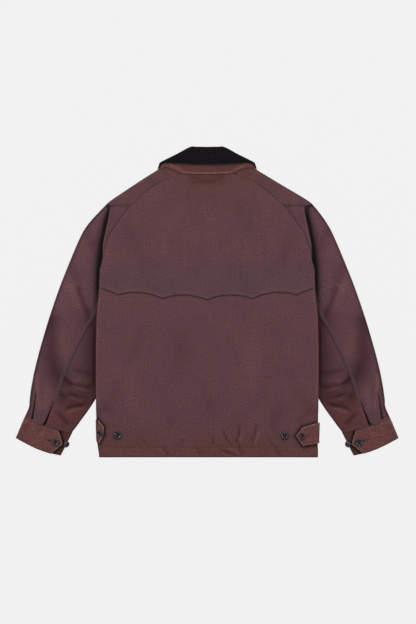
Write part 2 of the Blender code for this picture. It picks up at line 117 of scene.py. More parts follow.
# Sections of the sleeve from shoulder to cuff. Columns: across and up of the outer fold, the back
# seam, the inner fold and the front seam.
SLEEVE = (
    (0.2455, 0.6390, 0.2375, 0.6390, None, None, 0.1340, 0.6390),
    (0.2572, 0.6310, 0.2375, 0.6310, None, None, 0.1340, 0.6310),
    (0.2958, 0.5855, 0.2375, 0.5850, None, None, 0.1520, 0.5750),
    (0.3185, 0.5455, 0.2385, 0.5300, None, None, 0.1700, 0.5150),
    (0.3520, 0.4655, 0.2430, 0.4550, None, None, 0.1830, 0.4300),
    (0.3720, 0.4135, 0.2710, 0.3735, 0.1900, 0.3400, 0.2150, 0.3500),
    (0.3950, 0.3455, 0.3065, 0.3100, 0.2215, 0.2700, 0.2480, 0.2820),
    (0.4145, 0.2800, 0.3355, 0.2480, 0.2467, 0.2121, 0.2740, 0.2230),
    (0.4288, 0.2255, 0.3575, 0.1970, 0.2703, 0.1614, 0.2980, 0.1730),
    (0.4380, 0.1800, 0.3720, 0.1530, 0.2943, 0.1219, 0.3220, 0.1330),
    (0.4430, 0.1445, 0.3865, 0.1215, 0.3154, 0.0929, 0.3420, 0.1035),
    (0.4446, 0.1255, 0.3950, 0.1045, 0.3265, 0.0775, 0.3540, 0.0890),
    (0.4550, 0.1010, 0.4040, 0.0838, 0.3370, 0.0640, 0.3650, 0.0727),
    (0.4572, 0.0962, 0.4056, 0.0792, 0.3390, 0.0592, 0.3668, 0.0680),
)
UNDER_FROM = 5
# Lines across the cuff from its seam to its edge. Columns: across and up of the outer fold, the
# tab's end and the inner fold.
CUFF = (
    (0.4555, 0.1000, 0.3710, 0.0675, 0.3375, 0.0625),
    (0.4612, 0.0870, 0.3650, 0.0500, 0.3445, 0.0480),
    (0.4666, 0.0740, 0.3600, 0.0325, 0.3515, 0.0335),
    (0.4720, 0.0610, 0.3762, 0.0219, 0.3590, 0.0190),
    (0.4775, 0.0480, 0.3905, 0.0136, 0.3665, 0.0045),
)
CUFF_BOW = 0.008             # its lower edge bows out
CUFF_DEPTH = 0.057
CUFF_LAP = 0.038             # the end under the tab
CUFF_UNDER = 0.0040
CUFF_TOP = 0.0066
# Stations of the collar from the centre back. Columns: across and up of its inside edge, fold and
# free edge, then the heights of the inside and of the free edge.
COLLAR = (
    (0.0000, 0.7180, 0.0000, 0.7742, 0.0000, 0.7325, 0.0032, 0.0098),
    (0.0250, 0.7183, 0.0260, 0.7746, 0.0270, 0.7328, 0.0032, 0.0098),
    (0.0400, 0.7190, 0.0430, 0.7738, 0.0450, 0.7337, 0.0032, 0.0098),
    (0.0640, 0.7260, 0.0750, 0.7570, 0.0830, 0.7358, 0.0032, 0.0098),
    (0.0880, 0.7300, 0.1040, 0.7425, 0.1100, 0.7335, 0.0034, 0.0096),
    (0.1050, 0.7330, 0.1140, 0.7375, 0.1205, 0.7240, 0.0030, 0.0090),
    (0.1120, 0.7320, 0.1190, 0.7340, 0.1240, 0.7170, 0.0024, 0.0078),
)
COLLAR_LEAF = (
    (0.1110, 0.7290, 0.1215, 0.7080), (0.0750, 0.7220, 0.1000, 0.6560), (0.0270, 0.7000, 0.0640, 0.6420),
)
# Top edge of the stand, hidden by the fall, and the thread on its rolled ends. Columns: across, up.
STAND_TOP = (
    (0.0, 0.760), (0.04, 0.760), (0.06, 0.750), (0.085, 0.7420), (0.105, 0.7392), (0.112, 0.7372),
    (0.118, 0.7310), (0.1212, 0.7250),
)
ZIGZAG = (
    (0.1105, 0.7350), (0.1135, 0.7362), (0.1130, 0.7325), (0.1165, 0.7330), (0.1155, 0.7292),
    (0.1188, 0.7290), (0.1172, 0.7255), (0.1200, 0.7245), (0.1185, 0.7215),
)
# Ends of the hem tabs. Columns: up, across, height of the middle line there.
RIGHT_TAB = ((0.0285, 0.2380, 0.0350), (0.0530, 0.2210, 0.0620), (0.0755, 0.2380, 0.0865))
LEFT_TAB = (
    (0.0355, 0.2690, 0.0375), (0.0560, 0.2578, 0.0570), (0.0775, 0.2580, 0.0800), (0.0935, 0.2725, 0.0940),
)
# Hem tabs. Columns: name, side, end, start on the underside.
HEM_TABS = (("right", 1, RIGHT_TAB, 0.2700), ("left", -1, LEFT_TAB, 0.2330))

# Creases of the back. Columns: from across, up, to across, up, width, height (troughs negative).
BACK_CREASES = (
    (0.040, 0.062, 0.063, 0.026, 0.0031, -0.0027),
    (0.048, 0.058, 0.070, 0.028, 0.0027, 0.0017),
    (0.084, 0.080, 0.074, 0.040, 0.0027, -0.0029),
    (0.074, 0.040, 0.084, 0.006, 0.0027, -0.0026),
    (0.091, 0.070, 0.083, 0.036, 0.0031, 0.0017),
    (0.124, 0.080, 0.112, 0.034, 0.0035, -0.0020),
    (0.132, 0.066, 0.119, 0.032, 0.0035, 0.0014),
    (0.036, 0.017, 0.068, 0.003, 0.0031, -0.0020),
    (0.050, 0.021, 0.076, 0.010, 0.0027, 0.0015),
    (-0.029, 0.022, -0.017, 0.004, 0.0027, -0.0020),
    (-0.036, 0.020, -0.027, 0.004, 0.0027, 0.0014),
    (-0.109, 0.022, -0.098, 0.004, 0.0031, -0.0020),
    (-0.120, 0.020, -0.110, 0.006, 0.0027, 0.0012),
    (0.166, 0.022, 0.178, 0.003, 0.0031, -0.0020),
    (0.150, 0.050, 0.166, 0.026, 0.0039, -0.0012),
    (0.010, 0.050, 0.018, 0.027, 0.0031, -0.0015),
    (-0.060, 0.046, -0.068, 0.026, 0.0035, -0.0014),
    (-0.095, 0.108, -0.092, 0.070, 0.0080, -0.0008),
    (-0.160, 0.044, -0.150, 0.026, 0.0035, -0.0012),
    (0.000, 0.150, 0.015, 0.090, 0.0140, -0.0006),
    (0.196, 0.130, 0.150, 0.075, 0.0160, -0.0007),
    (0.262, 0.120, 0.225, 0.086, 0.0080, -0.0009),
    (-0.262, 0.128, -0.225, 0.104, 0.0090, -0.0007),
    (-0.215, 0.240, -0.175, 0.120, 0.0200, 0.0006),
    (0.105, 0.300, 0.120, 0.170, 0.0240, 0.0006),
    (-0.060, 0.330, -0.075, 0.190, 0.0260, -0.0006),
    (0.215, 0.560, 0.180, 0.470, 0.0160, -0.0006),
    (-0.205, 0.590, -0.170, 0.500, 0.0180, -0.0006),
    (0.070, 0.640, 0.110, 0.560, 0.0220, -0.0005),
)
# Creases of a sleeve, the same columns, for the +X sleeve and mirrored for the other.
SLEEVE_CREASES = (
    (0.348, 0.440, 0.312, 0.375, 0.0120, 0.0012),
    (0.385, 0.330, 0.352, 0.255, 0.0180, 0.0012),
    (0.340, 0.190, 0.292, 0.190, 0.0060, 0.0011),
    (0.362, 0.200, 0.338, 0.180, 0.0060, -0.0022),
    (0.335, 0.218, 0.288, 0.204, 0.0060, -0.0017),
    (0.330, 0.176, 0.300, 0.164, 0.0040, 0.0013),
    (0.345, 0.160, 0.318, 0.150, 0.0035, -0.0012),
    (0.338, 0.146, 0.312, 0.141, 0.0035, 0.0012),
    (0.352, 0.122, 0.306, 0.132, 0.0050, -0.0014),
    (0.350, 0.112, 0.312, 0.122, 0.0050, 0.0009),
    (0.372, 0.110, 0.345, 0.082, 0.0055, -0.0010),
    (0.378, 0.165, 0.352, 0.150, 0.0060, -0.0010),
    (0.306, 0.585, 0.284, 0.520, 0.0120, -0.0010),
    (0.340, 0.480, 0.318, 0.430, 0.0140, -0.0012),
    (0.428, 0.200, 0.424, 0.160, 0.0040, 0.0016),
    (0.424, 0.160, 0.434, 0.115, 0.0035, 0.0014),
    (0.396, 0.178, 0.404, 0.118, 0.0090, 0.0014),
    (0.372, 0.150, 0.392, 0.104, 0.0050, 0.0010),
)
# Soft drags of a sleeve that bend. Columns: width, depth, strength of their painted shade, then the points
# across and up.
SLEEVE_DRAGS = (
    (0.0225, 0.0030, 0.70, ((0.386, 0.335), (0.387, 0.285), (0.391, 0.250), (0.378, 0.215), (0.363, 0.188))),
    (0.0080, 0.0026, 0.62, ((0.320, 0.418), (0.312, 0.392), (0.299, 0.362), (0.288, 0.330))),
    (0.0050, 0.0018, 0.52, ((0.352, 0.188), (0.330, 0.179), (0.300, 0.172), (0.286, 0.176))),
    (0.0050, 0.0010, 0.20, ((0.326, 0.140), (0.340, 0.128), (0.352, 0.104))),
)
# Open pleats above the cuff. Columns: from across, up, to across, up, half width, depth.
PLEATS = (
    (0.4260, 0.166, 0.4370, 0.097, 0.0026, 0.0070),
    (0.3800, 0.148, 0.4045, 0.083, 0.0024, 0.0070),
)

FOLD_STEPS = 8               # cells round a fold
YARN_PITCH = 0.0011
WALE_PITCH = 0.0031
# painted light and shade of the creases, partly wax worn off their ridges
RUB_AND_SHADE = 210.0                  # change of brightness for each metre of a crease's height
# Edges that stand proud of the cloth under them. Columns: across, up.
RIGHT_TAB_EDGE = (
    (0.2800, 0.0865), (0.2380, 0.0755), (0.2210, 0.0530), (0.2380, 0.0285), (0.2800, 0.0350),
)
LEFT_TAB_EDGE = (
    (-0.2760, 0.0950), (-0.2725, 0.0935), (-0.2580, 0.0775), (-0.2578, 0.0560), (-0.2690, 0.0355),
)
CUFF_TAB_EDGE = ((0.4075, 0.0825), (0.3710, 0.0685), (0.3595, 0.0325), (0.3890, 0.0085))

# Colours of the waxed cloth, and of painted shade and highlight, linear
PLUM = np.array((0.0996, 0.0414, 0.0496))
SLEEVE_PLUM = np.array((0.1000, 0.0410, 0.0496))
BAND_PLUM = np.array((0.0870, 0.0420, 0.0500))
HEM_BROWN = np.array((0.1000, 0.0375, 0.0330))
NECK_BROWN = np.array((0.0930, 0.0345, 0.0290))
CUFF_RUST = np.array((0.1200, 0.0430, 0.0400))
HEM_RUST = np.array((0.1280, 0.0400, 0.0300))
# the under sleeve's darker brown, its darkness partly painted shade
UNDER_BROWN_AND_SHADE = np.array((0.0590, 0.0185, 0.0185))
STAND_BROWN = np.array((0.0860, 0.0270, 0.0250))
NECK_OLIVE = np.array((0.0660, 0.0265, 0.0190))
SEAM_GREY = np.array((0.0760, 0.0410, 0.0460))
# paler colour of worn edges and of painted highlight on folds, rims and ridges
WEAR_AND_HIGHLIGHT = np.array((0.1750, 0.0780, 0.0640))
# painted shade: dark lines and shadows in folds, seams and stitch lines, under the collar and round the tabs,
# buttons and pleats
PAINTED_SHADE = np.array((0.0040, 0.0020, 0.0020))
# redder painted shade, for the sleeves' drags and beside the body
PAINTED_RED_SHADE = np.array((0.0300, 0.0055, 0.0080))
CORD_BLACK = np.array((0.01, 0.009, 0.012))


# ---- measures -------------------------------------------------------------------------------------
def soft_curve(table, value):
    """Second column of a table at values of its first, along a smooth curve with no overshoot."""
    rows = np.array(table, float)
    x, y = rows[:, 0], rows[:, 1]
    slope = np.diff(y) / np.diff(x)
    tangent = np.empty_like(y)
    tangent[0], tangent[-1] = slope[0], slope[-1]
    same = slope[:-1] * slope[1:] > 0
    total = np.where(np.abs(slope[:-1] + slope[1:]) < 1e-12, 1.0, slope[:-1] + slope[1:])
    tangent[1:-1] = np.where(same, 2 * slope[:-1] * slope[1:] / total, 0.0)
    v = np.clip(np.asarray(value, float), x[0], x[-1])
    i = np.clip(np.searchsorted(x, v) - 1, 0, len(x) - 2)
    h = x[i + 1] - x[i]
    t = (v - x[i]) / h
    a, b = (1 + 2 * t) * (1 - t) ** 2, t * t * (3 - 2 * t)
    c, d = t * (1 - t) ** 2 * h, t * t * (t - 1) * h
    return a * y[i] + b * y[i + 1] + c * tangent[i] + d * tangent[i + 1]


def smooth(value):
    """0 below 0, 1 above 1, with a soft step between."""
    t = np.clip(value, 0.0, 1.0)
    return t * t * (3 - 2 * t)


def blend(first, second, share):
    """Between two colours or arrays of colours."""
    share = np.asarray(share)[..., None]
    return first * (1 - share) + second * share


def filled(values, colour):
    """One colour at every place of a grid."""
    return np.ones(np.shape(values))[..., None] * colour


def bell(distance, width, power=2):
    """1 on a line or a spot, falling softly to 0 beyond the width."""
    return np.exp(-((distance / width) ** power))


def paint(tones, colour, share, distance, width, power=2):
    """Colour that fades with distance from a line or a spot."""
    return blend(tones, colour, share * bell(distance, width, power))


def between(start, end, shares):
    """Values on the way from one column to another, a row for each pair."""
    start, end = np.asarray(start)[:, None], np.asarray(end)[:, None]
    return start + (end - start) * shares


def strip(start, end, shares):
    """A ply between two rows of places, each given as its columns across, up and height."""
    return np.stack([between(a, b, shares) for a, b in zip(start, end)], axis=-1)


def crossing(values, low, high):
    """1 between two values, falling softly to 0 outside."""
    return bell(values - (low + high) / 2, (high - low) / 2, 4)


def spline(points, count):
    """Smooth rows through a list of rows, count in all, evenly spaced in number."""
    rows = np.array(points, float)
    n = len(rows)
    padded = np.vstack([2 * rows[0] - rows[1], rows, 2 * rows[-1] - rows[-2]])
    s = np.linspace(0, n - 1, count)
    i = np.minimum(s.astype(int), n - 2)
    t = (s - i)[:, None]
    p0, p1, p2, p3 = padded[i], padded[i + 1], padded[i + 2], padded[i + 3]
    return 0.5 * (2 * p1 + (p2 - p0) * t + (2 * p0 - 5 * p1 + 4 * p2 - p3) * t ** 2
                  + (3 * p1 - p0 - 3 * p2 + p3) * t ** 3)


def creases(x, up, table):
    """Sum of soft troughs and ridges, each fading out at its ends."""
    total = np.zeros(np.broadcast(x, up).shape)
    for ax, ay, bx, by, width, height in table:
        along, off, length = line_distance(x, up, ax, ay, bx, by)
        bent = off + 0.12 * width * np.sin(7 * along / length + 40 * ax)
        half = 0.5 * length
        ends = smooth((along + 0.25 * length) / half) * smooth((1.25 * length - along) / half)
        total = total + height * ends * bell(bent, width)
    return total


def ripple(x, y, seed):
    """Slow uneven waves that keep a surface from being quite flat, from -1 to 1."""
    rng = np.random.default_rng(seed)
    total = np.zeros(np.broadcast(x, y).shape)
    for _ in range(7):
        angle, length, phase = rng.uniform(0, math.pi), rng.uniform(0.05, 0.16), rng.uniform(0, 2 * math.pi)
        total = total + np.sin(2 * math.pi * (x * math.cos(angle) + y * math.sin(angle)) / length + phase)
    return total / 7


def inner_fold(up):
    """Distance across of the sleeve's inner fold."""
    rows = sorted((row[5], row[4]) for row in SLEEVE if row[4] is not None)
    return np.interp(up, [r[0] for r in rows], [r[1] for r in rows])


def side_fold(up):
    """Distance across of the body's side folds."""
    return soft_curve(SIDE_FOLD, up)


def back_raglan(up):
    """Distance across of the seam between the back and the shoulders."""
    return soft_curve(BACK_RAGLAN, up)


def front_raglan(up):
    """Distance across of the seam between the fronts and the shoulders or sleeves."""
    return soft_curve(FRONT_RAGLAN, up)


def neck_seam(across):
    """Distance up of the seam under the stand."""
    return soft_curve(NECK_SEAM, np.abs(across))


def cape_edge(across):
    """Scalloped lower edge of the cape."""
    wave = np.abs(np.sin(np.pi * across / CAPE_PITCH)) ** 0.75
    return CAPE_POINT_UP + 0.25 * across ** 2 + CAPE_ARCH * wave


def body_height(across, up):
    """Middle height of the back's ply, with its creases."""
    x = np.abs(across)
    hidden = np.where(up < ARMPIT[1], inner_fold(up), ARMPIT[0])
    over_sleeve = smooth((x - hidden + 0.060) / 0.040)
    fade = smooth((up - 0.095) / 0.035) * (1 - smooth((up - 0.630) / 0.035))
    base = BODY_MID + (BODY_SIDE - BODY_MID) * over_sleeve * fade
    base = base + (BODY_HEM_SIDE - BODY_MID) * smooth((x - 0.20) / 0.06) * (1 - smooth((up - 0.095) / 0.035))
    edge = np.where(up < RAGLAN_END, side_fold(up), back_raglan(up))
    inside = smooth((edge - x) / 0.03)
    relief = creases(across, up, BACK_CREASES) * inside + 0.0004 * ripple(across, up, 3) * inside
    base = base - 0.0022 * smooth((-across - 0.250) / 0.024) * (1 - smooth((up - 0.095) / 0.035))
    hem_dip = -0.0007 * bell(up - HEM_STITCH, 0.0022)
    pucker = 0.00085 * np.sin(2 * math.pi * across / 0.0170 + 3 * np.sin(across * 55)) * inside
    pucker = pucker * bell(up - HEM_STITCH, 0.011)
    return base + relief + hem_dip + pucker


def front_height(across, up):
    """Middle height of a front's ply."""
    x = np.abs(across)
    over_sleeve = smooth((x - inner_fold(up) + 0.048) / 0.030)
    over_sleeve = over_sleeve * smooth((up - 0.105) / 0.02) * (1 - smooth((up - ARMPIT[1] - 0.012) / 0.03))
    over_tab = smooth((x - 0.205) / 0.02) * (1 - smooth((up - 0.090) / 0.015))
    lift = np.maximum((FRONT_OVER_SLEEVE - FLOOR_PLY) * over_sleeve, (LAYER + 0.0002) * over_tab)
    return np.maximum(FLOOR_PLY + lift, shoulder_bottom(up))


def shoulder_bottom(up):
    """Middle height of the lower ply near the neck, over the collar's leaves."""
    return FLOOR_PLY + (CORD_WALL + GAP) * smooth((up - 0.622) / 0.016)


def line_distance(x, up, ax, ay, bx, by):
    """Distance along and off a line, and its length."""
    dx, dy = bx - ax, by - ay
    length = math.hypot(dx, dy)
    return ((x - ax) * dx + (up - ay) * dy) / length, ((x - ax) * dy - (up - ay) * dx) / length, length


def edge_distance(x, up, corners):
    """Distance to a line through corners, whose first two columns are across and up."""
    nearest = np.full(np.broadcast(x, up).shape, 1.0)
    for a, b in zip(corners[:-1], corners[1:]):
        along, off, length = line_distance(x, up, a[0], a[1], b[0], b[1])
        past = np.maximum(np.maximum(-along, along - length), 0)
        nearest = np.minimum(nearest, np.hypot(off, past))
    return nearest


def rubbed_and_shaded(tone, relief):
    """Cloth is paler on ridges and darker in troughs: partly wax worn off the ridges and kept in the troughs,
    partly painted light and shade of the relief.
    """
    return tone * (1 + np.clip(RUB_AND_SHADE * relief, -0.55, 0.42))[..., None]


def patchy(tones, points, scale, seed):
    """Browner patches of worn cloth."""
    patches = ripple(points[..., 0] * scale, points[..., 1] * scale, seed)
    return blend(tones, HEM_BROWN, 0.5 * smooth(patches * 2 + 0.2))


def pleat_depth(x, up):
    """How deep the open pleats above the cuff are at a point, as a share of their depth."""
    total = np.zeros(np.broadcast(x, up).shape)
    for ax, ay, bx, by, half, depth in PLEATS:
        along, off, length = line_distance(x, up, ax, ay, bx, by)
        t = np.clip(along / length, 0, 1)
        wide = half * (0.30 + 0.70 * t ** 1.5)
        inside = smooth(along / 0.020) * smooth((length + 0.004 - along) / 0.005)
        total = np.maximum(total, inside * bell(off, wide) * depth)
    return total


def sleeve_height(x, up, outer_gap, inner_gap):
    """Middle height of the sleeve's upper ply from its place and its distance to both folds."""
    beside = x - side_fold(up)
    top = smooth((SHOULDER_SEAM - up) / 0.05)
    valley = SLEEVE_VALLEY + 0.0045 * (1 - top) * smooth(beside / 0.004)
    rise = smooth(beside / (0.006 + 0.010 * top))
    rim = valley + (SLEEVE_RIM - valley) * rise
    full = smooth(outer_gap / 0.042) * smooth(inner_gap / 0.042) * smooth((beside + 0.002) / 0.036)
    taper = 0.55 + 0.45 * smooth((up - 0.10) / 0.12)
    height = rim + (SLEEVE_CROWN - SLEEVE_RIM) * full * taper
    loose = smooth(outer_gap / 0.015) * smooth(inner_gap / 0.015) * smooth(beside / 0.012)
    height = height + loose * (creases(x, up, SLEEVE_CREASES) + 0.0005 * ripple(x, up, 11))
    for width, depth, _, corners in SLEEVE_DRAGS:
        height = height - loose * depth * bell(edge_distance(x, up, corners), width)
    height = height - smooth(outer_gap / 0.006) * smooth(inner_gap / 0.006) * pleat_depth(x, up)
    tucked = smooth(line_distance(x, up, *CUFF[0][:2], *CUFF[0][4:])[1] / 0.003)
    under = up - SHOULDER_SEAM - SHOULDER_SLANT * np.maximum(x - SLANT_FROM, 0)
    height = height - 0.0022 * tucked - 0.0020 * smooth((under + 0.003) / 0.004)
    return np.maximum(height, SLEEVE_VALLEY - 0.0006)


# ---- colours --------------------------------------------------------------------------------------
def body_tone(x, up, cape=False):
    """Colour of the back: plum, greyer above the cape's edge, browner at the neck and hem, with painted shade
    in its folds, seams and stitch lines and round the tabs and buttons, and painted highlight along its side
    folds and hem.
    """
    tone = filled(x, PLUM)
    if cape:
        band = smooth((0.492 - up + 0.006 * np.sin(x * 31)) / 0.024) * 0.95
        tone = blend(tone, BAND_PLUM, band)
        from_neck = np.hypot(x * 0.8, up - 0.725)
        tone = blend(tone, NECK_BROWN, 0.80 * (1 - smooth((from_neck - 0.02) / 0.12)))
        patch = smooth((0.0600 - np.abs(x) - (0.713 - up) * 0.55) / 0.006) * smooth((up - 0.677) / 0.008)
        tone = blend(tone, NECK_OLIVE, 0.62 * patch)
        # painted shade along a fold below the neck
        fold = 0.26 * smooth((0.052 - np.abs(x)) / 0.02)
        tone = paint(tone, PAINTED_SHADE, fold, up - 0.689 - 9 * x * x, 0.0035)
        for spot_x, spot_up in ((-0.168, 0.640), (0.190, 0.652), (0.166, 0.664)):
            tone = paint(tone, HEM_BROWN, 0.40, np.hypot(x - spot_x, (up - spot_up) * 1.5), 0.014)
        # painted shade just below the neck seam
        tone = paint(tone, PAINTED_SHADE, 0.30, neck_seam(x) - up - 0.002, 0.0035)
    else:
        tone = blend(tone, HEM_BROWN, 0.85 * (1 - smooth((up - 0.015 - 0.012 * np.sin(x * 23)) / 0.075)))
        # painted highlight just above the hem's edge, painted shade on the edge and in the stitch line
        tone = paint(tone, WEAR_AND_HIGHLIGHT * 0.8, 0.35, up - 0.0050, 0.0025)
        tone = paint(tone, PAINTED_SHADE, 0.62, up, 0.0036)
        tone = paint(tone, PAINTED_SHADE, 0.12, up - HEM_STITCH, 0.0016)
        rust = smooth(2.2 * ripple(x * 3.0, up * 3.0, 61)) * (1 - smooth((up - 0.020) / 0.050))
        tone = blend(tone, HEM_RUST, 0.38 * rust)
        tone = paint(tone, HEM_BROWN * 1.05, 0.7, np.hypot(x - 0.262, (up - 0.11) * 0.8), 0.030)
        # painted shadow round the hem tabs
        for edge in (RIGHT_TAB_EDGE, LEFT_TAB_EDGE):
            tone = paint(tone, PAINTED_SHADE, 0.95, edge_distance(x, up, edge), 0.0066, 2.2)
        # painted shadow round the inner hem buttons
        for spot_x, spot_up in ((0.1935, 0.0525), (-0.2238, 0.0540)):
            tone = paint(tone, PAINTED_SHADE, 0.70, np.hypot(x - spot_x, up - spot_up), 0.0115, 6)
            tone = paint(tone, BAND_PLUM * 0.8, 0.5, np.hypot((x - spot_x) * 0.7, up - spot_up), 0.022)
    edge = np.where(up < RAGLAN_END, side_fold(up), back_raglan(up))
    gap = edge - np.abs(x)
    above_opening = smooth((up - 0.130) / 0.02)
    # painted highlight along the side folds, and painted shade at them near the hem
    tone = paint(tone, WEAR_AND_HIGHLIGHT, 0.40 * above_opening * (up < RAGLAN_END), gap, 0.0035)
    tone = paint(tone, PAINTED_SHADE, 0.45 * (1 - above_opening), gap, 0.0030)
    # painted light and shade of the creases, partly wax worn off their ridges
    return rubbed_and_shaded(tone, creases(x, up, BACK_CREASES) * smooth(gap / 0.02))


def sleeve_tone(x, up, outer_gap):
    """Colour of a sleeve: plum, browner towards the cuff, with painted shade beside the body, along its
    drags, on its creases, in the pleats and round the cuff tab, and painted highlight on a ridge.
    """
    x = np.abs(x)
    tone = filled(x, SLEEVE_PLUM)
    tone = blend(tone, BAND_PLUM * 1.05, 0.5 * smooth((x - 0.372) / 0.02) * smooth((0.155 - up) / 0.04))
    # painted light and shade of the creases, partly wax worn off their ridges
    tone = rubbed_and_shaded(tone, creases(x, up, SLEEVE_CREASES) * smooth(outer_gap / 0.01))
    # painted shade along the drags
    for width, _, shade, corners in SLEEVE_DRAGS:
        tone = paint(tone, PAINTED_RED_SHADE, shade, edge_distance(x, up, corners), width)
    # painted shade, darker towards the cuff
    tone = tone * (1 - 0.10 * smooth((0.300 - up) / 0.10))[..., None]
    # painted highlight along a ridge above the cuff
    ridge = edge_distance(x, up, ((0.4240, 0.205), (0.4215, 0.1555), (0.4185, 0.122)))
    tone = paint(tone, WEAR_AND_HIGHLIGHT, 0.40, ridge, 0.0036)
    # painted shade in the groove beside the body, darkest at its core
    beside = np.maximum(x - side_fold(up), 0)
    high = smooth((up - 0.385) / 0.05)
    width = 0.0165 - 0.0060 * smooth((up - 0.575) / 0.05)
    near = (0.74 + 0.14 * high) * smooth((0.6380 - up) / 0.012) * smooth((up - 0.345) / 0.05)
    tone = paint(tone, PAINTED_SHADE, near, beside, width, 2.4)
    core = 0.985 * smooth((0.6340 - up) / 0.010) * smooth((up - 0.395) / 0.03)
    tone = paint(tone, PAINTED_SHADE * 0.3, core, beside, 0.0105, 3)
    # wider, redder painted shade beside the body on the forearm
    wide = 0.94 * smooth((up - 0.125) / 0.02) * (1 - smooth((up - 0.345) / 0.04))
    tone = paint(tone, PAINTED_RED_SHADE * 0.8, wide, beside, 0.034, 1.6)
    # painted shade in the open pleats, below the cuff tab's edge and at the outer fold
    tone = blend(tone, PAINTED_SHADE * 0.5, 0.99 * smooth(pleat_depth(x, up) / 0.0034))
    tone = paint(tone, PAINTED_SHADE, 0.90, edge_distance(x, up, CUFF_TAB_EDGE), 0.0048, 2.5)
    return paint(tone, PAINTED_SHADE, 0.22, outer_gap, 0.0040)


# ---- making meshes --------------------------------------------------------------------------------
def linked(name, data):
    """A new object of the scene."""
    obj = bpy.data.objects.new(name, data)
    bpy.context.scene.collection.objects.link(obj)
    return obj


def to_world(points):
    """From across, up and height to the frame's X, Y and Z. The hem lies a little to one side."""
    moved = np.array(points, float)
    body = 1 - smooth((np.abs(moved[..., 0]) - 0.290) / 0.02)
    beyond = np.abs(moved[..., 0]) - soft_curve(SHOULDER_EDGE, moved[..., 1])
    shoulder = bell(moved[..., 1] - 0.632, 0.045) * smooth((beyond + 0.035) / 0.035)
    moved[..., 0] += HEM_LEAN * body * (1 - smooth(moved[..., 1] / 0.05)) + SHOULDER_LEAN * shoulder
    moved[..., 1] += HEM
    return moved


def grid_object(name, points, tones, grain, material, wall, offset=0.0):
    """A cloth wall through a grid of points, with its colours and its grain in metres."""
    rows, columns = points.shape[:2]
    index = np.arange(rows * columns).reshape(rows, columns)
    quads = np.stack([index[:-1, :-1], index[:-1, 1:], index[1:, 1:], index[1:, :-1]], axis=-1).reshape(-1, 4)
    mesh = bpy.data.meshes.new(name)
    mesh.from_pydata(to_world(points).reshape(-1, 3).tolist(), [], quads.tolist())
    colour = mesh.attributes.new("tone", "FLOAT_COLOR", "POINT")
    colour.data.foreach_set("color", np.concatenate(
        [tones.reshape(-1, 3), np.ones((rows * columns, 1))], axis=1).astype(np.float32).ravel())
    lay = mesh.attributes.new("grain", "FLOAT_VECTOR", "POINT")
    lay.data.foreach_set("vector", np.concatenate(
        [grain.reshape(-1, 2), np.zeros((rows * columns, 1))], axis=1).astype(np.float32).ravel())
    mesh.shade_smooth()
    mesh.materials.append(material)
    obj = linked(name, mesh)
    solid = obj.modifiers.new("wall", "SOLIDIFY")
    solid.thickness = wall
    solid.offset = offset
    return obj


def declare(obj, nodes):
    """Tell the frame what a piece is."""
    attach(obj, "root")
    if nodes:
        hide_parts(*nodes)
    return obj


def mirrored(points, side):
    """The same grid on the other side of the centre line."""
    flipped = points.copy()
    flipped[..., 0] *= side
    return flipped if side > 0 else flipped[:, ::-1]


def panel(name, side, points, tones, material, wall=CLOTH, grain=None):
    """One of a pair of pieces: the +X grid, or its mirror image, with its colours and grain."""
    flip = slice(None) if side > 0 else slice(None, None, -1)
    placed = mirrored(points, side)
    lay = placed[..., :2] if grain is None else grain[:, flip]
    return grid_object(name, placed, tones[:, flip], lay, material, wall)


def lengths(points):
    """Distance along each row of a grid from its first point."""
    steps = np.linalg.norm(np.diff(points, axis=1), axis=-1)
    return np.cumsum(np.concatenate([np.zeros((len(points), 1)), steps], axis=1), axis=1)


def curl(edge_x, edge_up, inward, high, low, steps):
    """Half rounds from one height to another at a fold, a row for each edge point."""
    angle = np.pi * np.arange(steps + 1) / steps
    radius = np.abs(high - low) / 2
    back = radius[:, None] * (1 - np.sin(angle))
    z = ((high + low) / 2)[:, None] + ((high - low) / 2)[:, None] * np.cos(angle)
    x = edge_x[:, None] + inward[0][:, None] * back
    up = edge_up[:, None] + inward[1][:, None] * back
    return np.stack([x, up, z], axis=-1)


def side_curl(edge, up, high, low, steps=FOLD_STEPS):
    """Half rounds at a fold along the side of the body."""
    return curl(edge, up, (-np.ones_like(edge), np.zeros_like(edge)), high, low, steps)


def away(x, up, from_x, from_up):
    """Distance of a grid's places from the point of their row."""
    return np.hypot(x - from_x[:, None], up - from_up[:, None])


def joined(first, rest, width):
    """A grid lengthened by columns of one value."""
    return np.concatenate([first, np.full((len(first), width), rest)], axis=1)


def spaced(count, ends):
    """Shares from 0 to 1, closer together towards the end, or towards both ends."""
    t = np.linspace(0, 1, count)
    if ends == "end":
        return 1 - (1 - t) * (0.35 + 0.65 * (1 - t))
    return t - 0.10 * np.sin(2 * np.pi * t)


def unit(ax, ay, bx, by):
    """Directions from points to points."""
    length = np.hypot(bx - ax, by - ay)
    return (bx - ax) / length, (by - ay) / length


# ---- materials ------------------------------------------------------------------------------------
def new_material(name):
    material = bpy.data.materials.new(name)
    material.use_nodes = True
    tree = material.node_tree
    tree.nodes.clear()
    out = tree.nodes.new("ShaderNodeOutputMaterial")
    shader = tree.nodes.new("ShaderNodeBsdfPrincipled")
    tree.links.new(shader.outputs["BSDF"], out.inputs["Surface"])
    return material, tree, shader


def math_node(tree, kind, first, second):
    node = tree.nodes.new("ShaderNodeMath")
    node.operation = kind
    for socket, value in zip(node.inputs, (first, second)):
        if isinstance(value, (int, float)):
            socket.default_value = value
        else:
            tree.links.new(value, socket)
    return node.outputs[0]


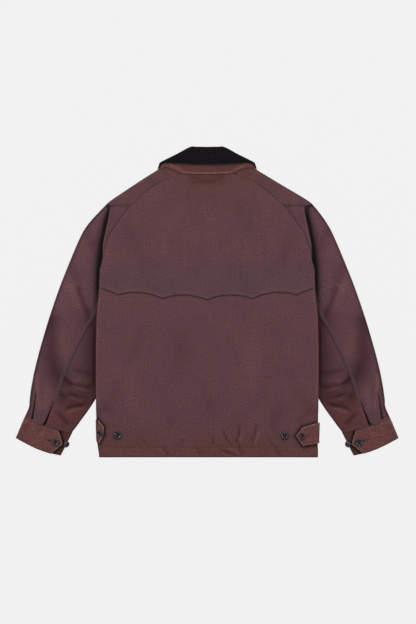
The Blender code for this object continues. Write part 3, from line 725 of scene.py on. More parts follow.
def noise(tree, vector, scale, detail=2.0, stretch=(1, 1, 1)):
    """Noise from 0 to 1 over a vector that is stretched first."""
    mapping = tree.nodes.new("ShaderNodeMapping")
    mapping.inputs["Scale"].default_value = stretch
    tree.links.new(vector, mapping.inputs["Vector"])
    node = tree.nodes.new("ShaderNodeTexNoise")
    set_inputs(node, {"Scale": scale, "Detail": detail})
    tree.links.new(mapping.outputs[0], node.inputs["Vector"])
    return node.outputs["Fac"]


def bands(tree, vector, pitch, direction, distortion=0.0):
    """A sine across one direction of the vector, from 0 to 1."""
    node = tree.nodes.new("ShaderNodeTexWave")
    node.bands_direction = direction
    set_inputs(node, {"Scale": math.pi / 10 / pitch, "Distortion": distortion, "Detail": 1.0})
    tree.links.new(vector, node.inputs["Vector"])
    return node.outputs["Fac"]


def attribute(tree, name):
    node = tree.nodes.new("ShaderNodeAttribute")
    node.attribute_name = name
    return node


def set_inputs(node, values):
    """Values of a node's sockets, by name."""
    for socket, value in values.items():
        node.inputs[socket].default_value = value


def add_bump(tree, shader, height, strength, distance):
    """Relief of the surface from a height from 0 to 1."""
    bump = tree.nodes.new("ShaderNodeBump")
    set_inputs(bump, {"Strength": strength, "Distance": distance})
    tree.links.new(height, bump.inputs["Height"])
    tree.links.new(bump.outputs[0], shader.inputs["Normal"])


def mixed(tree, shader, factor, first, second):
    """Base colour between two colours."""
    ramp = tree.nodes.new("ShaderNodeMix")
    ramp.data_type = "RGBA"
    set_inputs(ramp, {"A": (*first, 1.0), "B": (*second, 1.0)})
    tree.links.new(factor, ramp.inputs["Factor"])
    tree.links.new(ramp.outputs["Result"], shader.inputs["Base Color"])


def waxed_cloth(name, roughness, streak, mottle, grit):
    """Waxed cotton: yarn weave, slubs along the warp, wax patches and worn paler spots."""
    material, tree, shader = new_material(name)
    tone, lay = attribute(tree, "tone"), attribute(tree, "grain").outputs["Vector"]
    slubs = noise(tree, lay, 1.0, 3.0, (420, 16, 1))
    ribs = noise(tree, lay, 1.0, 2.0, (150, 9, 1))
    picks = noise(tree, lay, 1.0, 2.0, (30, 600, 1))
    cloud = noise(tree, lay, 17.0, 4.0)
    speck = noise(tree, lay, 420.0, 3.0)
    shares = ((slubs, streak), (ribs, 0.7 * streak), (picks, 0.42), (cloud, mottle), (speck, grit))
    bright = 1.0 - 0.5 * sum(share for _, share in shares)
    for field, share in shares:
        bright = math_node(tree, "ADD", math_node(tree, "MULTIPLY", field, share), bright)
    scaled = tree.nodes.new("ShaderNodeVectorMath")
    scaled.operation = "SCALE"
    tree.links.new(tone.outputs["Color"], scaled.inputs[0])
    tree.links.new(bright, scaled.inputs["Scale"])
    tree.links.new(scaled.outputs[0], shader.inputs["Base Color"])
    warp, weft = (bands(tree, lay, YARN_PITCH, way, 0.6) for way in "XY")
    weave = math_node(tree, "MULTIPLY", warp, weft)
    height = math_node(tree, "ADD", weave, math_node(tree, "MULTIPLY", slubs, 0.9))
    height = math_node(tree, "ADD", height, math_node(tree, "MULTIPLY", cloud, 0.8))
    add_bump(tree, shader, height, 0.35, 0.0004)
    rough = math_node(tree, "MULTIPLY_ADD", cloud, 0.22)
    rough.node.inputs[2].default_value = roughness - 0.11
    tree.links.new(rough, shader.inputs["Roughness"])
    set_inputs(shader, {"Specular IOR Level": 0.16, "Sheen Weight": 0.03, "Sheen Roughness": 0.45,
                        "Sheen Tint": (0.85, 0.62, 0.60, 1.0)})
    return material


def corduroy_cloth(name):
    """Black corduroy with fine wales across the collar and a short nap."""
    material, tree, shader = new_material(name)
    lay = attribute(tree, "grain").outputs["Vector"]
    wales = bands(tree, lay, WALE_PITCH, "X", 0.5)
    nap = noise(tree, lay, 330.0, 3.0)
    tufts = tree.nodes.new("ShaderNodeMapRange")
    set_inputs(tufts, {"From Min": 0.34, "From Max": 0.70})
    tree.links.new(nap, tufts.inputs["Value"])
    tufted = math_node(tree, "MULTIPLY", wales, tufts.outputs["Result"])
    mixed(tree, shader, tufted, (0.0016, 0.0011, 0.0018), (0.0300, 0.0220, 0.0300))
    relief = math_node(tree, "ADD", wales, math_node(tree, "MULTIPLY", nap, 0.7))
    add_bump(tree, shader, relief, 0.8, 0.0006)
    set_inputs(shader, {"Roughness": 0.95, "Specular IOR Level": 0.08, "Sheen Weight": 0.03,
                        "Sheen Roughness": 0.4})
    return material


def plain(name, colour, roughness, bump_scale, variation, gloss=0.5):
    """One colour with a fine grain, for thread and buttons."""
    material, tree, shader = new_material(name)
    where = tree.nodes.new("ShaderNodeTexCoord").outputs["Object"]
    grain = noise(tree, where, bump_scale, 3.0)
    mixed(tree, shader, grain, [c * (1 - variation) for c in colour], [c * (1 + variation) for c in colour])
    add_bump(tree, shader, grain, 0.15, 0.0001)
    set_inputs(shader, {"Roughness": roughness, "Specular IOR Level": gloss})
    return material


waxed = waxed_cloth("waxed_cotton", 0.60, 0.24, 0.26, 2.8)
worn = waxed_cloth("waxed_cotton_worn", 0.54, 0.24, 0.60, 4.2)
corduroy = corduroy_cloth("corduroy")
horn = plain("button", (0.0036, 0.0056, 0.0125), 0.10, 900.0, 0.35, 1.0)
thread = plain("thread", (0.060, 0.030, 0.030), 0.7, 2500.0, 0.3)
navy_thread = plain("navy_thread", (0.012, 0.012, 0.034), 0.6, 2500.0, 0.3)
dark_thread = plain("dark_thread", (0.012, 0.012, 0.018), 0.7, 2500.0, 0.3)


# ---- body -----------------------------------------------------------------------------------------
def body_columns(edge, count=64):
    """Places across from the centre line to the edge, a row for each edge."""
    return edge[:, None] * spaced(count, "end")[None, :]


def both(half):
    """Whole rows from their +X half, whose first column is on the centre line."""
    left = half[:, :0:-1].copy()
    left[..., 0] *= -1
    return np.concatenate([left, half], axis=1)


def both_ends(half):
    """A whole strip from its +X half, whose first row is on the centre line."""
    return both(half.swapaxes(0, 1)).swapaxes(0, 1)


def make_back():
    """Back with its sides turned under, up to the neck under the cape."""
    low_ups = np.concatenate([np.arange(0, 0.09, 0.0022), np.arange(0.09, 0.38, 0.0055),
                              np.arange(0.38, 0.476, 0.006)])
    edge = side_fold(low_ups)
    high = body_height(edge, low_ups)
    low = np.where(low_ups < ARMPIT[1], front_height(edge - LIP, low_ups), LIP_HEIGHT)
    turn = side_curl(edge, low_ups, high, low)
    x = body_columns(turn[:, 0, 0])[:, :-1]
    up = np.broadcast_to(low_ups[:, None], x.shape)
    flat = np.stack([x, up, body_height(x, up)], axis=-1)
    lip = turn[:, -1:, :].copy()
    lip[..., 0] -= LIP
    lower = np.concatenate([flat, turn, lip], axis=1)
    high_ups = np.concatenate([np.arange(0.498, 0.70, 0.009), [0.7025]])
    edge = np.append(back_raglan(high_ups), BACK_NECK) - GAP
    x = np.concatenate([body_columns(edge - 0.003)[:, :-1],
                        (edge - 0.003)[:, None] + 0.003 * np.linspace(0, 1, 10)[None, :]], axis=1)
    up = np.broadcast_to(np.append(high_ups, 0.0)[:, None], x.shape).copy()
    up[-1] = neck_seam(x[-1])
    upper = np.stack([x, up, body_height(x, up)], axis=-1)
    half = np.concatenate([lower, upper], axis=0)
    whole = both(half)
    # the left half has creases of its own
    flat_part = np.abs(whole[..., 0]) < side_fold(whole[..., 1]) - 0.004
    on_top = np.zeros_like(flat_part)
    on_top[:, 10:-10] = True
    whole[..., 2] = np.where(on_top & flat_part, body_height(whole[..., 0], whole[..., 1]), whole[..., 2])
    tones = body_tone(whole[..., 0], whole[..., 1])
    obj = grid_object("back_panel", whole, tones, whole[..., :2], waxed, CLOTH)
    declare(obj, ["back"])


def make_cape():
    """Cape: the back's surface moved out by a layer, its lower edge turned and stitched."""
    rows_up = np.linspace(0.0, 1.0, 14) ** 1.3 * 0.045
    level = np.concatenate([np.arange(0.470, 0.70, 0.0045), [0.7025]])
    edge_low = side_fold(np.full_like(rows_up, 0.41) + rows_up) - CAPE_INSET
    edge_high = np.where(level < RAGLAN_END, side_fold(level) - CAPE_INSET, back_raglan(level) - GAP)
    edge = np.concatenate([edge_low, edge_high, [BACK_NECK - GAP]])
    x = body_columns(edge, 90)
    up = np.zeros_like(x)
    n = len(rows_up)
    start = cape_edge(x[:n])
    share = (rows_up / rows_up[-1])[:, None]
    up[:n] = start * (1 - share) + CAPE_LEVEL * share
    up[n:-1] = level[:, None]
    up[-1] = neck_seam(x[-1])
    half = np.stack([x, up, np.zeros_like(x)], axis=-1)
    whole = both(half)
    across, ups = whole[..., 0], whole[..., 1]
    from_edge = ups - cape_edge(across)
    turned = 0.0007 * smooth((0.0095 - from_edge) / 0.002) - 0.0005 * bell(from_edge - 0.0075, 0.0014)
    seam = np.where(ups < RAGLAN_END, 1.0, back_raglan(ups) - np.abs(across))
    dip = -0.0008 * bell(np.maximum(seam, 0), 0.0022) * (ups > RAGLAN_END)
    whole[..., 2] = body_height(across, ups) + LAYER + turned + dip
    whole[..., 2] -= 0.0008 * bell(ups - neck_seam(across), 0.004) * (ups > 0.69)
    tones = body_tone(across, ups, cape=True)
    # painted shade along the cape's lower edge and along the raglan seams
    tones = paint(tones, PAINTED_SHADE, 0.70, from_edge, 0.0022)
    line = (0.05 + 0.16 * smooth((0.620 - ups) / 0.05)) * (ups > RAGLAN_END)
    tones = paint(tones, PAINTED_SHADE, line, np.maximum(seam, 0), 0.0020)
    tones = blend(tones, WEAR_AND_HIGHLIGHT * 0.8, 0.22 * crossing(from_edge, 0.0022, 0.0085))
    obj = grid_object("cape_panel", whole, tones, whole[..., :2], waxed, CLOTH)
    declare(obj, ["cape"])


def make_front(suffix, side):
    """Front on the floor, over the sleeve at its side; the left one lies over the right one's edge."""
    ups = np.concatenate([np.arange(0, 0.28, 0.008), [row[0] for row in UNDERARM],
                          np.arange(0.366, 0.655, 0.010)])
    below = ups < UNDERARM_END
    edge = np.where(below, side_fold(ups), front_raglan(ups) - RAGLAN_GAP)
    for row in UNDERARM:
        edge = np.where(ups == row[0], row[1], edge)
    turn = (body_height(side_fold(ups), ups) - front_height(side_fold(ups) - LIP, ups)) / 2
    edge = np.where(below, edge - turn - LIP - GAP, edge)
    edge = np.append(edge, front_raglan(FRONT_TOP) - RAGLAN_GAP)
    x = -FRONT_OVERLAP + (edge[:, None] + FRONT_OVERLAP) * np.linspace(0, 1, 44)[None, :]
    up = np.broadcast_to(np.append(ups, 0)[:, None], x.shape).copy()
    up[-1] = NECK_SCOOP + 0.024 * smooth((x[-1] - FRONT_OVERLAP) / 0.06)
    rise = LAYER * (1 - smooth((x - FRONT_OVERLAP) / 0.012)) if side < 0 else 0.0
    points = np.stack([x, up, front_height(x, up) + rise], axis=-1)
    tones = paint(body_tone(x, up), WEAR_AND_HIGHLIGHT, 0.3, x + FRONT_OVERLAP, 0.003)
    obj = panel("front_panel_" + suffix, side, points, tones, waxed)
    declare(obj, ["front_" + suffix])


def make_shoulder(suffix, side):
    """Raglan shoulder, over the shoulder line to the front and down to the side fold behind."""
    low_ups = np.concatenate([[0.5005], np.arange(0.505, 0.622, 0.004), [0.6240, 0.6262]])
    edge = side_fold(low_ups) - 0.0036 * (1 - smooth((low_ups - 0.500) / 0.040))
    high = body_height(edge, low_ups)
    turn_low = side_curl(edge, low_ups, high, np.full_like(edge, LIP_HEIGHT))
    start_low = np.minimum(back_raglan(low_ups) + GAP, turn_low[:, 0, 0] - 0.001)
    high_ups = np.concatenate([[0.6275], np.arange(0.631, 0.698, 0.004)])
    # the last rows turn from straight across to the line of the neck seam
    turned = np.concatenate([np.zeros(len(low_ups) + len(high_ups)), np.linspace(0, 1, 9)])
    start_ups = np.concatenate([low_ups, high_ups, 0.698 + 0.014 * turned[-9:]])
    edge_ups = np.concatenate([high_ups, 0.698 + 0.020 * turned[-9:]])
    # beyond the side fold the lower edge slants up over the head of the sleeve
    slant = SHOULDER_SLANT * (1 - smooth((edge_ups - 0.6275) / 0.018))
    raised = edge_ups
    for _ in range(8):
        edge = soft_curve(SHOULDER_EDGE, raised)
        raised = edge_ups + slant * np.maximum(edge - SLANT_FROM, 0)
    turn_high = side_curl(edge, edge_ups, body_height(edge, raised), shoulder_bottom(raised))
    starts = np.concatenate([start_low, back_raglan(start_ups[len(low_ups):]) + GAP])
    turn = np.concatenate([turn_low, turn_high])
    share = spaced(34, "both")[None, :-1]
    x = starts[:, None] + (turn[:, 0, 0] - starts)[:, None] * share
    up = start_ups[:, None] + (turn[:, 0, 1] - start_ups)[:, None] * share
    up = up + turned[:, None] * (neck_seam(x) - 0.712 - 0.006 * share) * smooth(share * 6)
    slant = np.concatenate([np.zeros(len(low_ups)), slant])[:, None]
    up = up + slant * np.maximum(x - SLANT_FROM, 0)
    turn[..., 1] += slant * np.maximum(turn[..., 0] - SLANT_FROM, 0)
    top = np.stack([x, up, body_height(x, up)], axis=-1)
    ends = np.concatenate([turn_low[:, -1, 0] - 0.003, front_raglan(edge_ups) + RAGLAN_GAP])
    tail_x = between(turn[:, -1, 0], ends, np.linspace(0, 1, 9)[1:])
    tail = np.stack([tail_x, np.broadcast_to(turn[:, -1, 1][:, None], tail_x.shape),
                     np.broadcast_to(turn[:, -1, 2][:, None], tail_x.shape)], axis=-1)
    points = np.concatenate([top, turn, tail], axis=1)
    across, ups = points[..., 0], points[..., 1]
    upper = np.zeros(across.shape)
    upper[:, :top.shape[1]] = 1.0
    seam = np.maximum(across - back_raglan(ups), 0)
    felled = 0.0005 * smooth((0.0075 - seam) / 0.0015) - 0.0012 * bell(seam, 0.0018)
    above = ups - SHOULDER_SEAM
    felled = felled + 0.0006 * smooth(above / 0.001) * smooth((0.0085 - above) / 0.0015)
    felled = felled - 0.0006 * bell(above, 0.0013)
    points[..., 2] += felled * upper
    tones = filled(across, SLEEVE_PLUM * 0.92)
    from_neck = np.hypot(across * 0.8, ups - 0.725)
    tones = blend(tones, NECK_BROWN, 0.8 * (1 - smooth((from_neck - 0.04) / 0.14)))
    tones = blend(tones, SEAM_GREY, 0.7 * crossing(above, 0.0, 0.010) * upper)
    # painted shade along the shoulder seam and the raglan seam
    tones = paint(tones, PAINTED_SHADE, 0.26 * upper * smooth((0.2435 - across) / 0.002), above, 0.0016)
    tones = paint(tones, PAINTED_SHADE, (0.05 + 0.16 * smooth((0.620 - ups) / 0.05)) * upper, seam, 0.0020)
    tones = blend(tones, SEAM_GREY, 0.30 * crossing(seam, 0.0, 0.0085) * upper)
    for spot_x, spot_up in ((0.152, 0.668), (0.196, 0.640), (0.120, 0.695)):
        tones = paint(tones, HEM_BROWN, 0.45, np.hypot(across - spot_x, (ups - spot_up) * 1.4), 0.016)
    tones = rubbed_and_shaded(tones, 0.0009 * ripple(across * 1.6, ups * 1.6, 31))
    gap = np.where(ups < SHOULDER_SEAM, side_fold(ups) - across, 1.0)
    # painted highlight along the side fold
    tones = paint(tones, WEAR_AND_HIGHLIGHT, 0.30 * smooth((ups - 0.500) / 0.04), gap, 0.0030)
    obj = panel("shoulder_panel_" + suffix, side, points, tones, waxed)
    declare(obj, ["shoulder_" + suffix])


# ---- sleeves --------------------------------------------------------------------------------------
def sleeve_sections(count):
    """Smooth sections of the sleeve from the table, with the inner fold from the armpit down."""
    rows = [(*row[:4], *(row[4:6] if row[4] is not None else row[2:4]), *row[6:]) for row in SLEEVE]
    full = spline(rows, count)
    s = np.linspace(0, len(SLEEVE) - 1, count)
    return full, s >= UNDER_FROM


def to_fold(seam_x, seam_up, turn, count):
    """Places from a seam to the start of a fold."""
    share = spaced(count, "both")[:-1]
    return between(seam_x, turn[:, 0, 0], share), between(seam_up, turn[:, 0, 1], share)


def round_fold(x, up, z, turn, end_x, end_up, count):
    """A ply from its seam round a fold and along the floor, and how many columns are past its top."""
    share = np.linspace(0, 1, count)[1:]
    tail_x, tail_up = between(turn[:, -1, 0], end_x, share), between(turn[:, -1, 1], end_up, share)
    tail = np.stack([tail_x, tail_up, np.full_like(tail_x, FLOOR_PLY)], axis=-1)
    points = np.concatenate([np.stack([x, up, z], axis=-1), turn, tail], axis=1)
    return points, points.shape[1] - x.shape[1]


def sleeve_grain(points, gap, fold_x, fold_up, arm):
    """Distance round the sleeve from its fold, and down the arm."""
    tail = points[:, gap.shape[1] + FOLD_STEPS + 1:]
    around = np.concatenate([joined(-gap, 0.004, FOLD_STEPS + 1),
                             0.01 + away(tail[..., 0], tail[..., 1], fold_x, fold_up)], axis=1)
    return np.stack([around, np.broadcast_to(arm[:, None], around.shape)], axis=-1)


def make_sleeve(suffix, side):
    """Upper sleeve round the outer fold and under sleeve round the inner one."""
    sections, has_under = sleeve_sections(230)
    ox, oy, sx, sy, nx, ny, fx, fy = sections.T
    inward = unit(ox, oy, sx, sy)
    rim = np.full_like(ox, SLEEVE_RIM)
    turn = curl(ox, oy, inward, rim, np.full_like(ox, FLOOR_PLY), FOLD_STEPS)
    x, up = to_fold(sx, sy, turn, 46)
    outer_gap = away(x, up, ox, oy)
    inner_gap = np.where(has_under[:, None], away(x, up, nx, ny), 0.2)
    z = sleeve_height(x, up, outer_gap, inner_gap)
    from_seam = away(x, up, sx, sy)
    shown = smooth((x - side_fold(up)) / 0.004) * smooth((up - 0.135) / 0.02)
    z = z + shown * (0.0007 * smooth((0.0095 - from_seam) / 0.0015) - 0.0008 * bell(from_seam, 0.0012))
    points, pad = round_fold(x, up, z, turn, fx, fy, 12)
    tones = sleeve_tone(points[..., 0], points[..., 1], joined(outer_gap, 0.0, pad))
    band = joined(crossing(from_seam, -0.002, 0.0095) * shown, 0.0, pad)
    tones = blend(tones, SEAM_GREY * 0.92, 0.8 * band)
    arm = np.concatenate([[0], np.cumsum(np.hypot(np.diff(ox), np.diff(oy)))])
    grain = sleeve_grain(points, outer_gap, ox, oy, arm)
    obj = panel("sleeve_upper_panel_" + suffix, side, points, tones, waxed, CLOTH, grain)
    declare(obj, ["sleeve_upper_" + suffix])

    ox, oy, sx, sy, nx, ny, fx, fy = sections[has_under].T
    to_seam = unit(nx, ny, sx, sy)
    to_front = unit(nx, ny, fx, fy)
    gap = 2 * GAP
    ex, ey = sx - gap * to_seam[0], sy - gap * to_seam[1]
    gx, gy = fx - gap * to_front[0], fy - gap * to_front[1]
    rim = sleeve_height(nx, ny, np.full_like(nx, 0.2), np.zeros_like(nx))
    turn = curl(nx, ny, to_seam, rim, np.full_like(nx, FLOOR_PLY), FOLD_STEPS)
    x, up = to_fold(ex, ey, turn, 44)
    inner_gap = away(x, up, nx, ny)
    from_seam = away(x, up, sx, sy)
    z = sleeve_height(x, up, away(x, up, ox, oy), inner_gap) - 0.0006 * bell(from_seam, 0.0018)
    points, pad = round_fold(x, up, z, turn, gx, gy, 6)
    across, ups = points[..., 0], points[..., 1]
    tones = sleeve_tone(across, ups, np.full(points.shape[:2], 0.1))
    # browner towards the cuff, the brown partly painted shade, with painted light and shade on the creases
    worn_and_shaded_share = smooth((0.205 - ups) / 0.06)
    brown = UNDER_BROWN_AND_SHADE * (1 + 0.55 * smooth((0.150 - ups) / 0.035))[..., None]
    tones = blend(tones, brown, 0.9 * worn_and_shaded_share * (1 - smooth(pleat_depth(across, ups) / 0.006)))
    tones = rubbed_and_shaded(tones, 2.2 * worn_and_shaded_share * creases(across, ups, SLEEVE_CREASES))
    # painted shade along the inner fold and the seam
    tones = paint(tones, PAINTED_SHADE * 1.6, 0.55, joined(inner_gap, 0.0, pad), 0.005)
    tones = paint(tones, PAINTED_SHADE, 0.40, joined(from_seam, 0.1, pad), 0.0020)
    grain = sleeve_grain(points, inner_gap, nx, ny, arm[has_under])
    obj = panel("sleeve_under_panel_" + suffix, side, points, tones, waxed, CLOTH, grain)
    declare(obj, ["sleeve_under_" + suffix])


def cuff_rows(count):
    """Lines across the cuff: outer fold, tab end and inner fold, with straight tab edges."""
    rows = np.array(CUFF)
    s = np.linspace(0, len(rows) - 1, count)
    columns = [np.interp(s, range(len(rows)), column) for column in rows.T]
    return np.stack(columns, axis=1), s / (len(rows) - 1)


def make_cuff(suffix, side):
    """Cuff: a band from its pointed tab round the wrist to the end under the tab."""
    rows, share = cuff_rows(37)
    ox, oy, tx, ty, nx, ny = rows.T
    to_inner = unit(ox, oy, nx, ny)
    to_outer = (-to_inner[0], -to_inner[1])
    floor = np.full_like(ox, CUFF_WALL / 2)
    outer_turn = curl(ox, oy, to_inner, np.full_like(ox, CUFF_TOP), floor, FOLD_STEPS)
    inner_turn = curl(nx, ny, to_outer, floor, np.full_like(ox, CUFF_UNDER), FOLD_STEPS)

    def run(ax, ay, bx, by, z, count, first=0):
        t = np.linspace(0, 1, count)[first:]
        x = between(ax, bx, t)
        return np.stack([x, between(ay, by, t), np.full_like(x, z)], axis=-1)

    upper = run(tx, ty, outer_turn[:, 0, 0], outer_turn[:, 0, 1], CUFF_TOP, 46)[:, :-1]
    lower = run(outer_turn[:, -1, 0], outer_turn[:, -1, 1], inner_turn[:, 0, 0], inner_turn[:, 0, 1],
                CUFF_WALL / 2, 16, 1)[:, :-1]
    hidden = run(inner_turn[:, -1, 0], inner_turn[:, -1, 1], inner_turn[:, -1, 0] + to_outer[0] * CUFF_LAP,
                 inner_turn[:, -1, 1] + to_outer[1] * CUFF_LAP, CUFF_UNDER, 12, 1)
    points = np.concatenate([upper, outer_turn, lower, inner_turn, hidden], axis=1)
    spread = np.sin(np.pi * np.clip((points[..., 0] - nx[:, None]) / (ox - nx)[:, None], 0, 1))
    bow = CUFF_BOW * (share ** 2)[:, None] * spread
    points[..., 0] -= 0.37 * bow
    points[..., 1] -= 0.93 * bow
    from_seam, from_edge = share[:, None] * CUFF_DEPTH, (1 - share)[:, None] * CUFF_DEPTH
    from_tab = np.full(points.shape[:2], 0.1)
    n = upper.shape[1]
    from_tab[:, :n] = np.hypot(upper[..., 0] - tx[:, None], upper[..., 1] - ty[:, None])
    on_top = np.zeros(points.shape[:2])
    on_top[:, :n] = 1.0
    groove = 0.0
    for distance in (from_edge, from_tab * 0.8, from_seam):
        groove = groove + 0.0004 * bell(distance - 0.0045, 0.0012)
    wave = 0.0006 * ripple(points[..., 0], points[..., 1], 21 + int(side > 0))
    wave = wave + 0.0016 * (1 - smooth(from_tab / 0.035)) * smooth(share * 8)[:, None]
    points[..., 2] += on_top * (wave - groove)
    points[..., 2] -= on_top * 0.0004 * (1 - smooth(from_tab / 0.003))
    tones = filled(on_top, CUFF_RUST)
    near_tab = edge_distance(points[..., 0], points[..., 1], CUFF_TAB_EDGE)
    tones = patchy(tones, points, 2, 41)
    # paler band and rim at the tab's edge, wear and painted highlight, with painted shade in its stitch line
    tones = blend(tones, WEAR_AND_HIGHLIGHT, 0.25 * on_top * crossing(near_tab, 0.0045, 0.0080))
    tones = paint(tones, PAINTED_SHADE, 0.25 * on_top, near_tab - 0.0048, 0.0011)
    tones = paint(tones, WEAR_AND_HIGHLIGHT * 1.15, 0.80 * on_top, near_tab, 0.0034)
    tones = rubbed_and_shaded(tones, 0.0010 * ripple(points[..., 0] * 5, points[..., 1] * 5, 47))
    tones = paint(tones, SLEEVE_PLUM, 0.25, from_seam, 0.006)
    # painted shade at the cuff's edge
    tones = paint(tones, PAINTED_SHADE, 0.55, from_edge, 0.0022)
    hidden_part = np.zeros(points.shape[:2])
    hidden_part[:, -(hidden.shape[1] + inner_turn.shape[1]):] = 1.0
    tones = blend(tones, UNDER_BROWN_AND_SHADE * 0.9, 0.75 * hidden_part)
    # painted shadow under the tab's edge
    tones = paint(tones, PAINTED_SHADE, 0.95 * hidden_part, near_tab, 0.0068, 2.2)
    around = lengths(points)
    grain = np.stack([np.broadcast_to(from_seam, around.shape), around], axis=-1)
    obj = panel("cuff_panel_" + suffix, side, points, tones, worn, CUFF_WALL, grain)
    declare(obj, ["cuff_" + suffix])


# ---- collar ---------------------------------------------------------------------------------------
def make_collar():
    """Corduroy collar folded over behind the neck, its ends rolled over the shoulders."""
    stations = spline(COLLAR, 60)
    ix, iy, fx, fy, ex, ey, inside, outside = stations.T
    to_edge = unit(fx, fy, ex, ey)
    turn = curl(fx, fy, to_edge, inside, outside, 10)
    t = np.linspace(0, 1, 9)[:-1]
    inner = strip((ix, iy, inside), (turn[:, 0, 0], turn[:, 0, 1], inside), t)
    t = np.linspace(0, 1, 22)[None, 1:]
    fall_x, fall_y = between(turn[:, -1, 0], ex, t), between(turn[:, -1, 1], ey, t)
    swell = 0.0022 * np.sin(np.pi * t) + 0.0007 * np.sin(fx[:, None] * 140 + t * 4)
    swell = swell * smooth((0.119 - fx) / 0.03)[:, None]
    fall = np.stack([fall_x, fall_y, outside[:, None] + swell], axis=-1)
    points = both_ends(np.concatenate([inner, turn, fall], axis=1))
    length = np.concatenate([[0], np.cumsum(np.hypot(np.diff(fx), np.diff(fy)))])
    along = np.concatenate([-length[:0:-1], length])
    down = lengths(points)
    grain = np.stack([np.broadcast_to(along[:, None], down.shape), down], axis=-1)
    obj = grid_object("collar_fall", points, filled(down, CORD_BLACK), grain, corduroy, CORD_WALL)
    declare(obj, ["collar"])
    for suffix, side in (("right", 1), ("left", -1)):
        x1, up1, x2, up2 = spline(COLLAR_LEAF, 16).T
        t = np.linspace(0, 1, 14)
        x, up = between(x1, x2, t), between(up1, up2, t)
        points = np.stack([x, up, np.full_like(x, CORD_WALL / 2)], axis=-1)
        obj = panel("collar_leaf_panel_" + suffix, side, points, filled(x, CORD_BLACK), corduroy, CORD_WALL,
                    np.stack([x, up], axis=-1))
        declare(obj, ["collar_leaf_" + suffix])


def make_stand():
    """Stand: a crescent from the neck seam up under the fall, out to the rolled ends."""
    x = np.concatenate([np.linspace(0, 0.104, 52), np.linspace(0.1055, 0.1212, 14)])
    low = neck_seam(x) - STAND_LAP - 0.0018 * smooth((x - 0.050) / 0.016)
    high = soft_curve(STAND_TOP, x)
    t = np.linspace(0, 1, 26)[None, :] ** 1.2
    up = low[:, None] + (high - low)[:, None] * t
    from_edge = up - low[:, None]
    z = 0.0094 - 0.0024 * smooth((from_edge - 0.004) / 0.018) + 0.0006 * bell(from_edge - 0.003, 0.003)
    drop = (0.0006 + 0.0006 * smooth((x - 0.066) / 0.006)) * (1 - smooth((x - 0.078) / 0.02))
    z = z - drop[:, None] * (1 - smooth(from_edge / 0.006))
    z = z - 0.0010 * smooth((x[:, None] - 0.07) / 0.03) - 0.0020 * smooth((x[:, None] - 0.108) / 0.012)
    half = np.stack([np.broadcast_to(x[:, None], up.shape), up, z], axis=-1)
    points = both_ends(half)
    edge = np.concatenate([from_edge[:0:-1], from_edge], axis=0)
    across = np.abs(points[..., 0])
    tones = filled(across, STAND_BROWN)
    # painted highlight along the stand's lower edge
    tones = paint(tones, WEAR_AND_HIGHLIGHT * 1.3, 0.85 * smooth((0.068 - across) / 0.014), edge - 0.001, 0.0026)
    tones = blend(tones, NECK_BROWN, 0.8 * smooth((across - 0.06) / 0.03))
    # painted shadow under the fall
    fall = soft_curve([(row[4], row[5]) for row in COLLAR], across)
    under_fall = 0.80 * (1 - smooth((fall - points[..., 1] - 0.001) / 0.0085))
    tones = blend(tones, PAINTED_SHADE, under_fall * smooth((0.104 - across) / 0.01))
    # painted highlight along the roll, painted shade at the rolled ends
    roll = edge_distance(across, points[..., 1], ((0.0955, 0.734), (0.086, 0.7255), (0.062, 0.7140)))
    tones = paint(tones, WEAR_AND_HIGHLIGHT, 0.45, roll, 0.0030)
    tones = blend(tones, PAINTED_SHADE, 0.55 * smooth((across - 0.1165) / 0.004))
    obj = grid_object("stand_panel", points, tones, points[..., :2], worn, CLOTH)
    declare(obj, ["collar_stand"])
    store = ([], [])
    for side in (1, -1):
        path = [(side * x, up, 0.0082 - 0.0020 * float(smooth((x - 0.108) / 0.012))) for x, up in ZIGZAG]
        for a, b in zip(path[:-1], path[1:]):
            capsule(*store, to_world(np.array(a)), to_world(np.array(b)), 0.00045)
    declare(thread_object("collar_zigzag", *store, dark_thread), [])


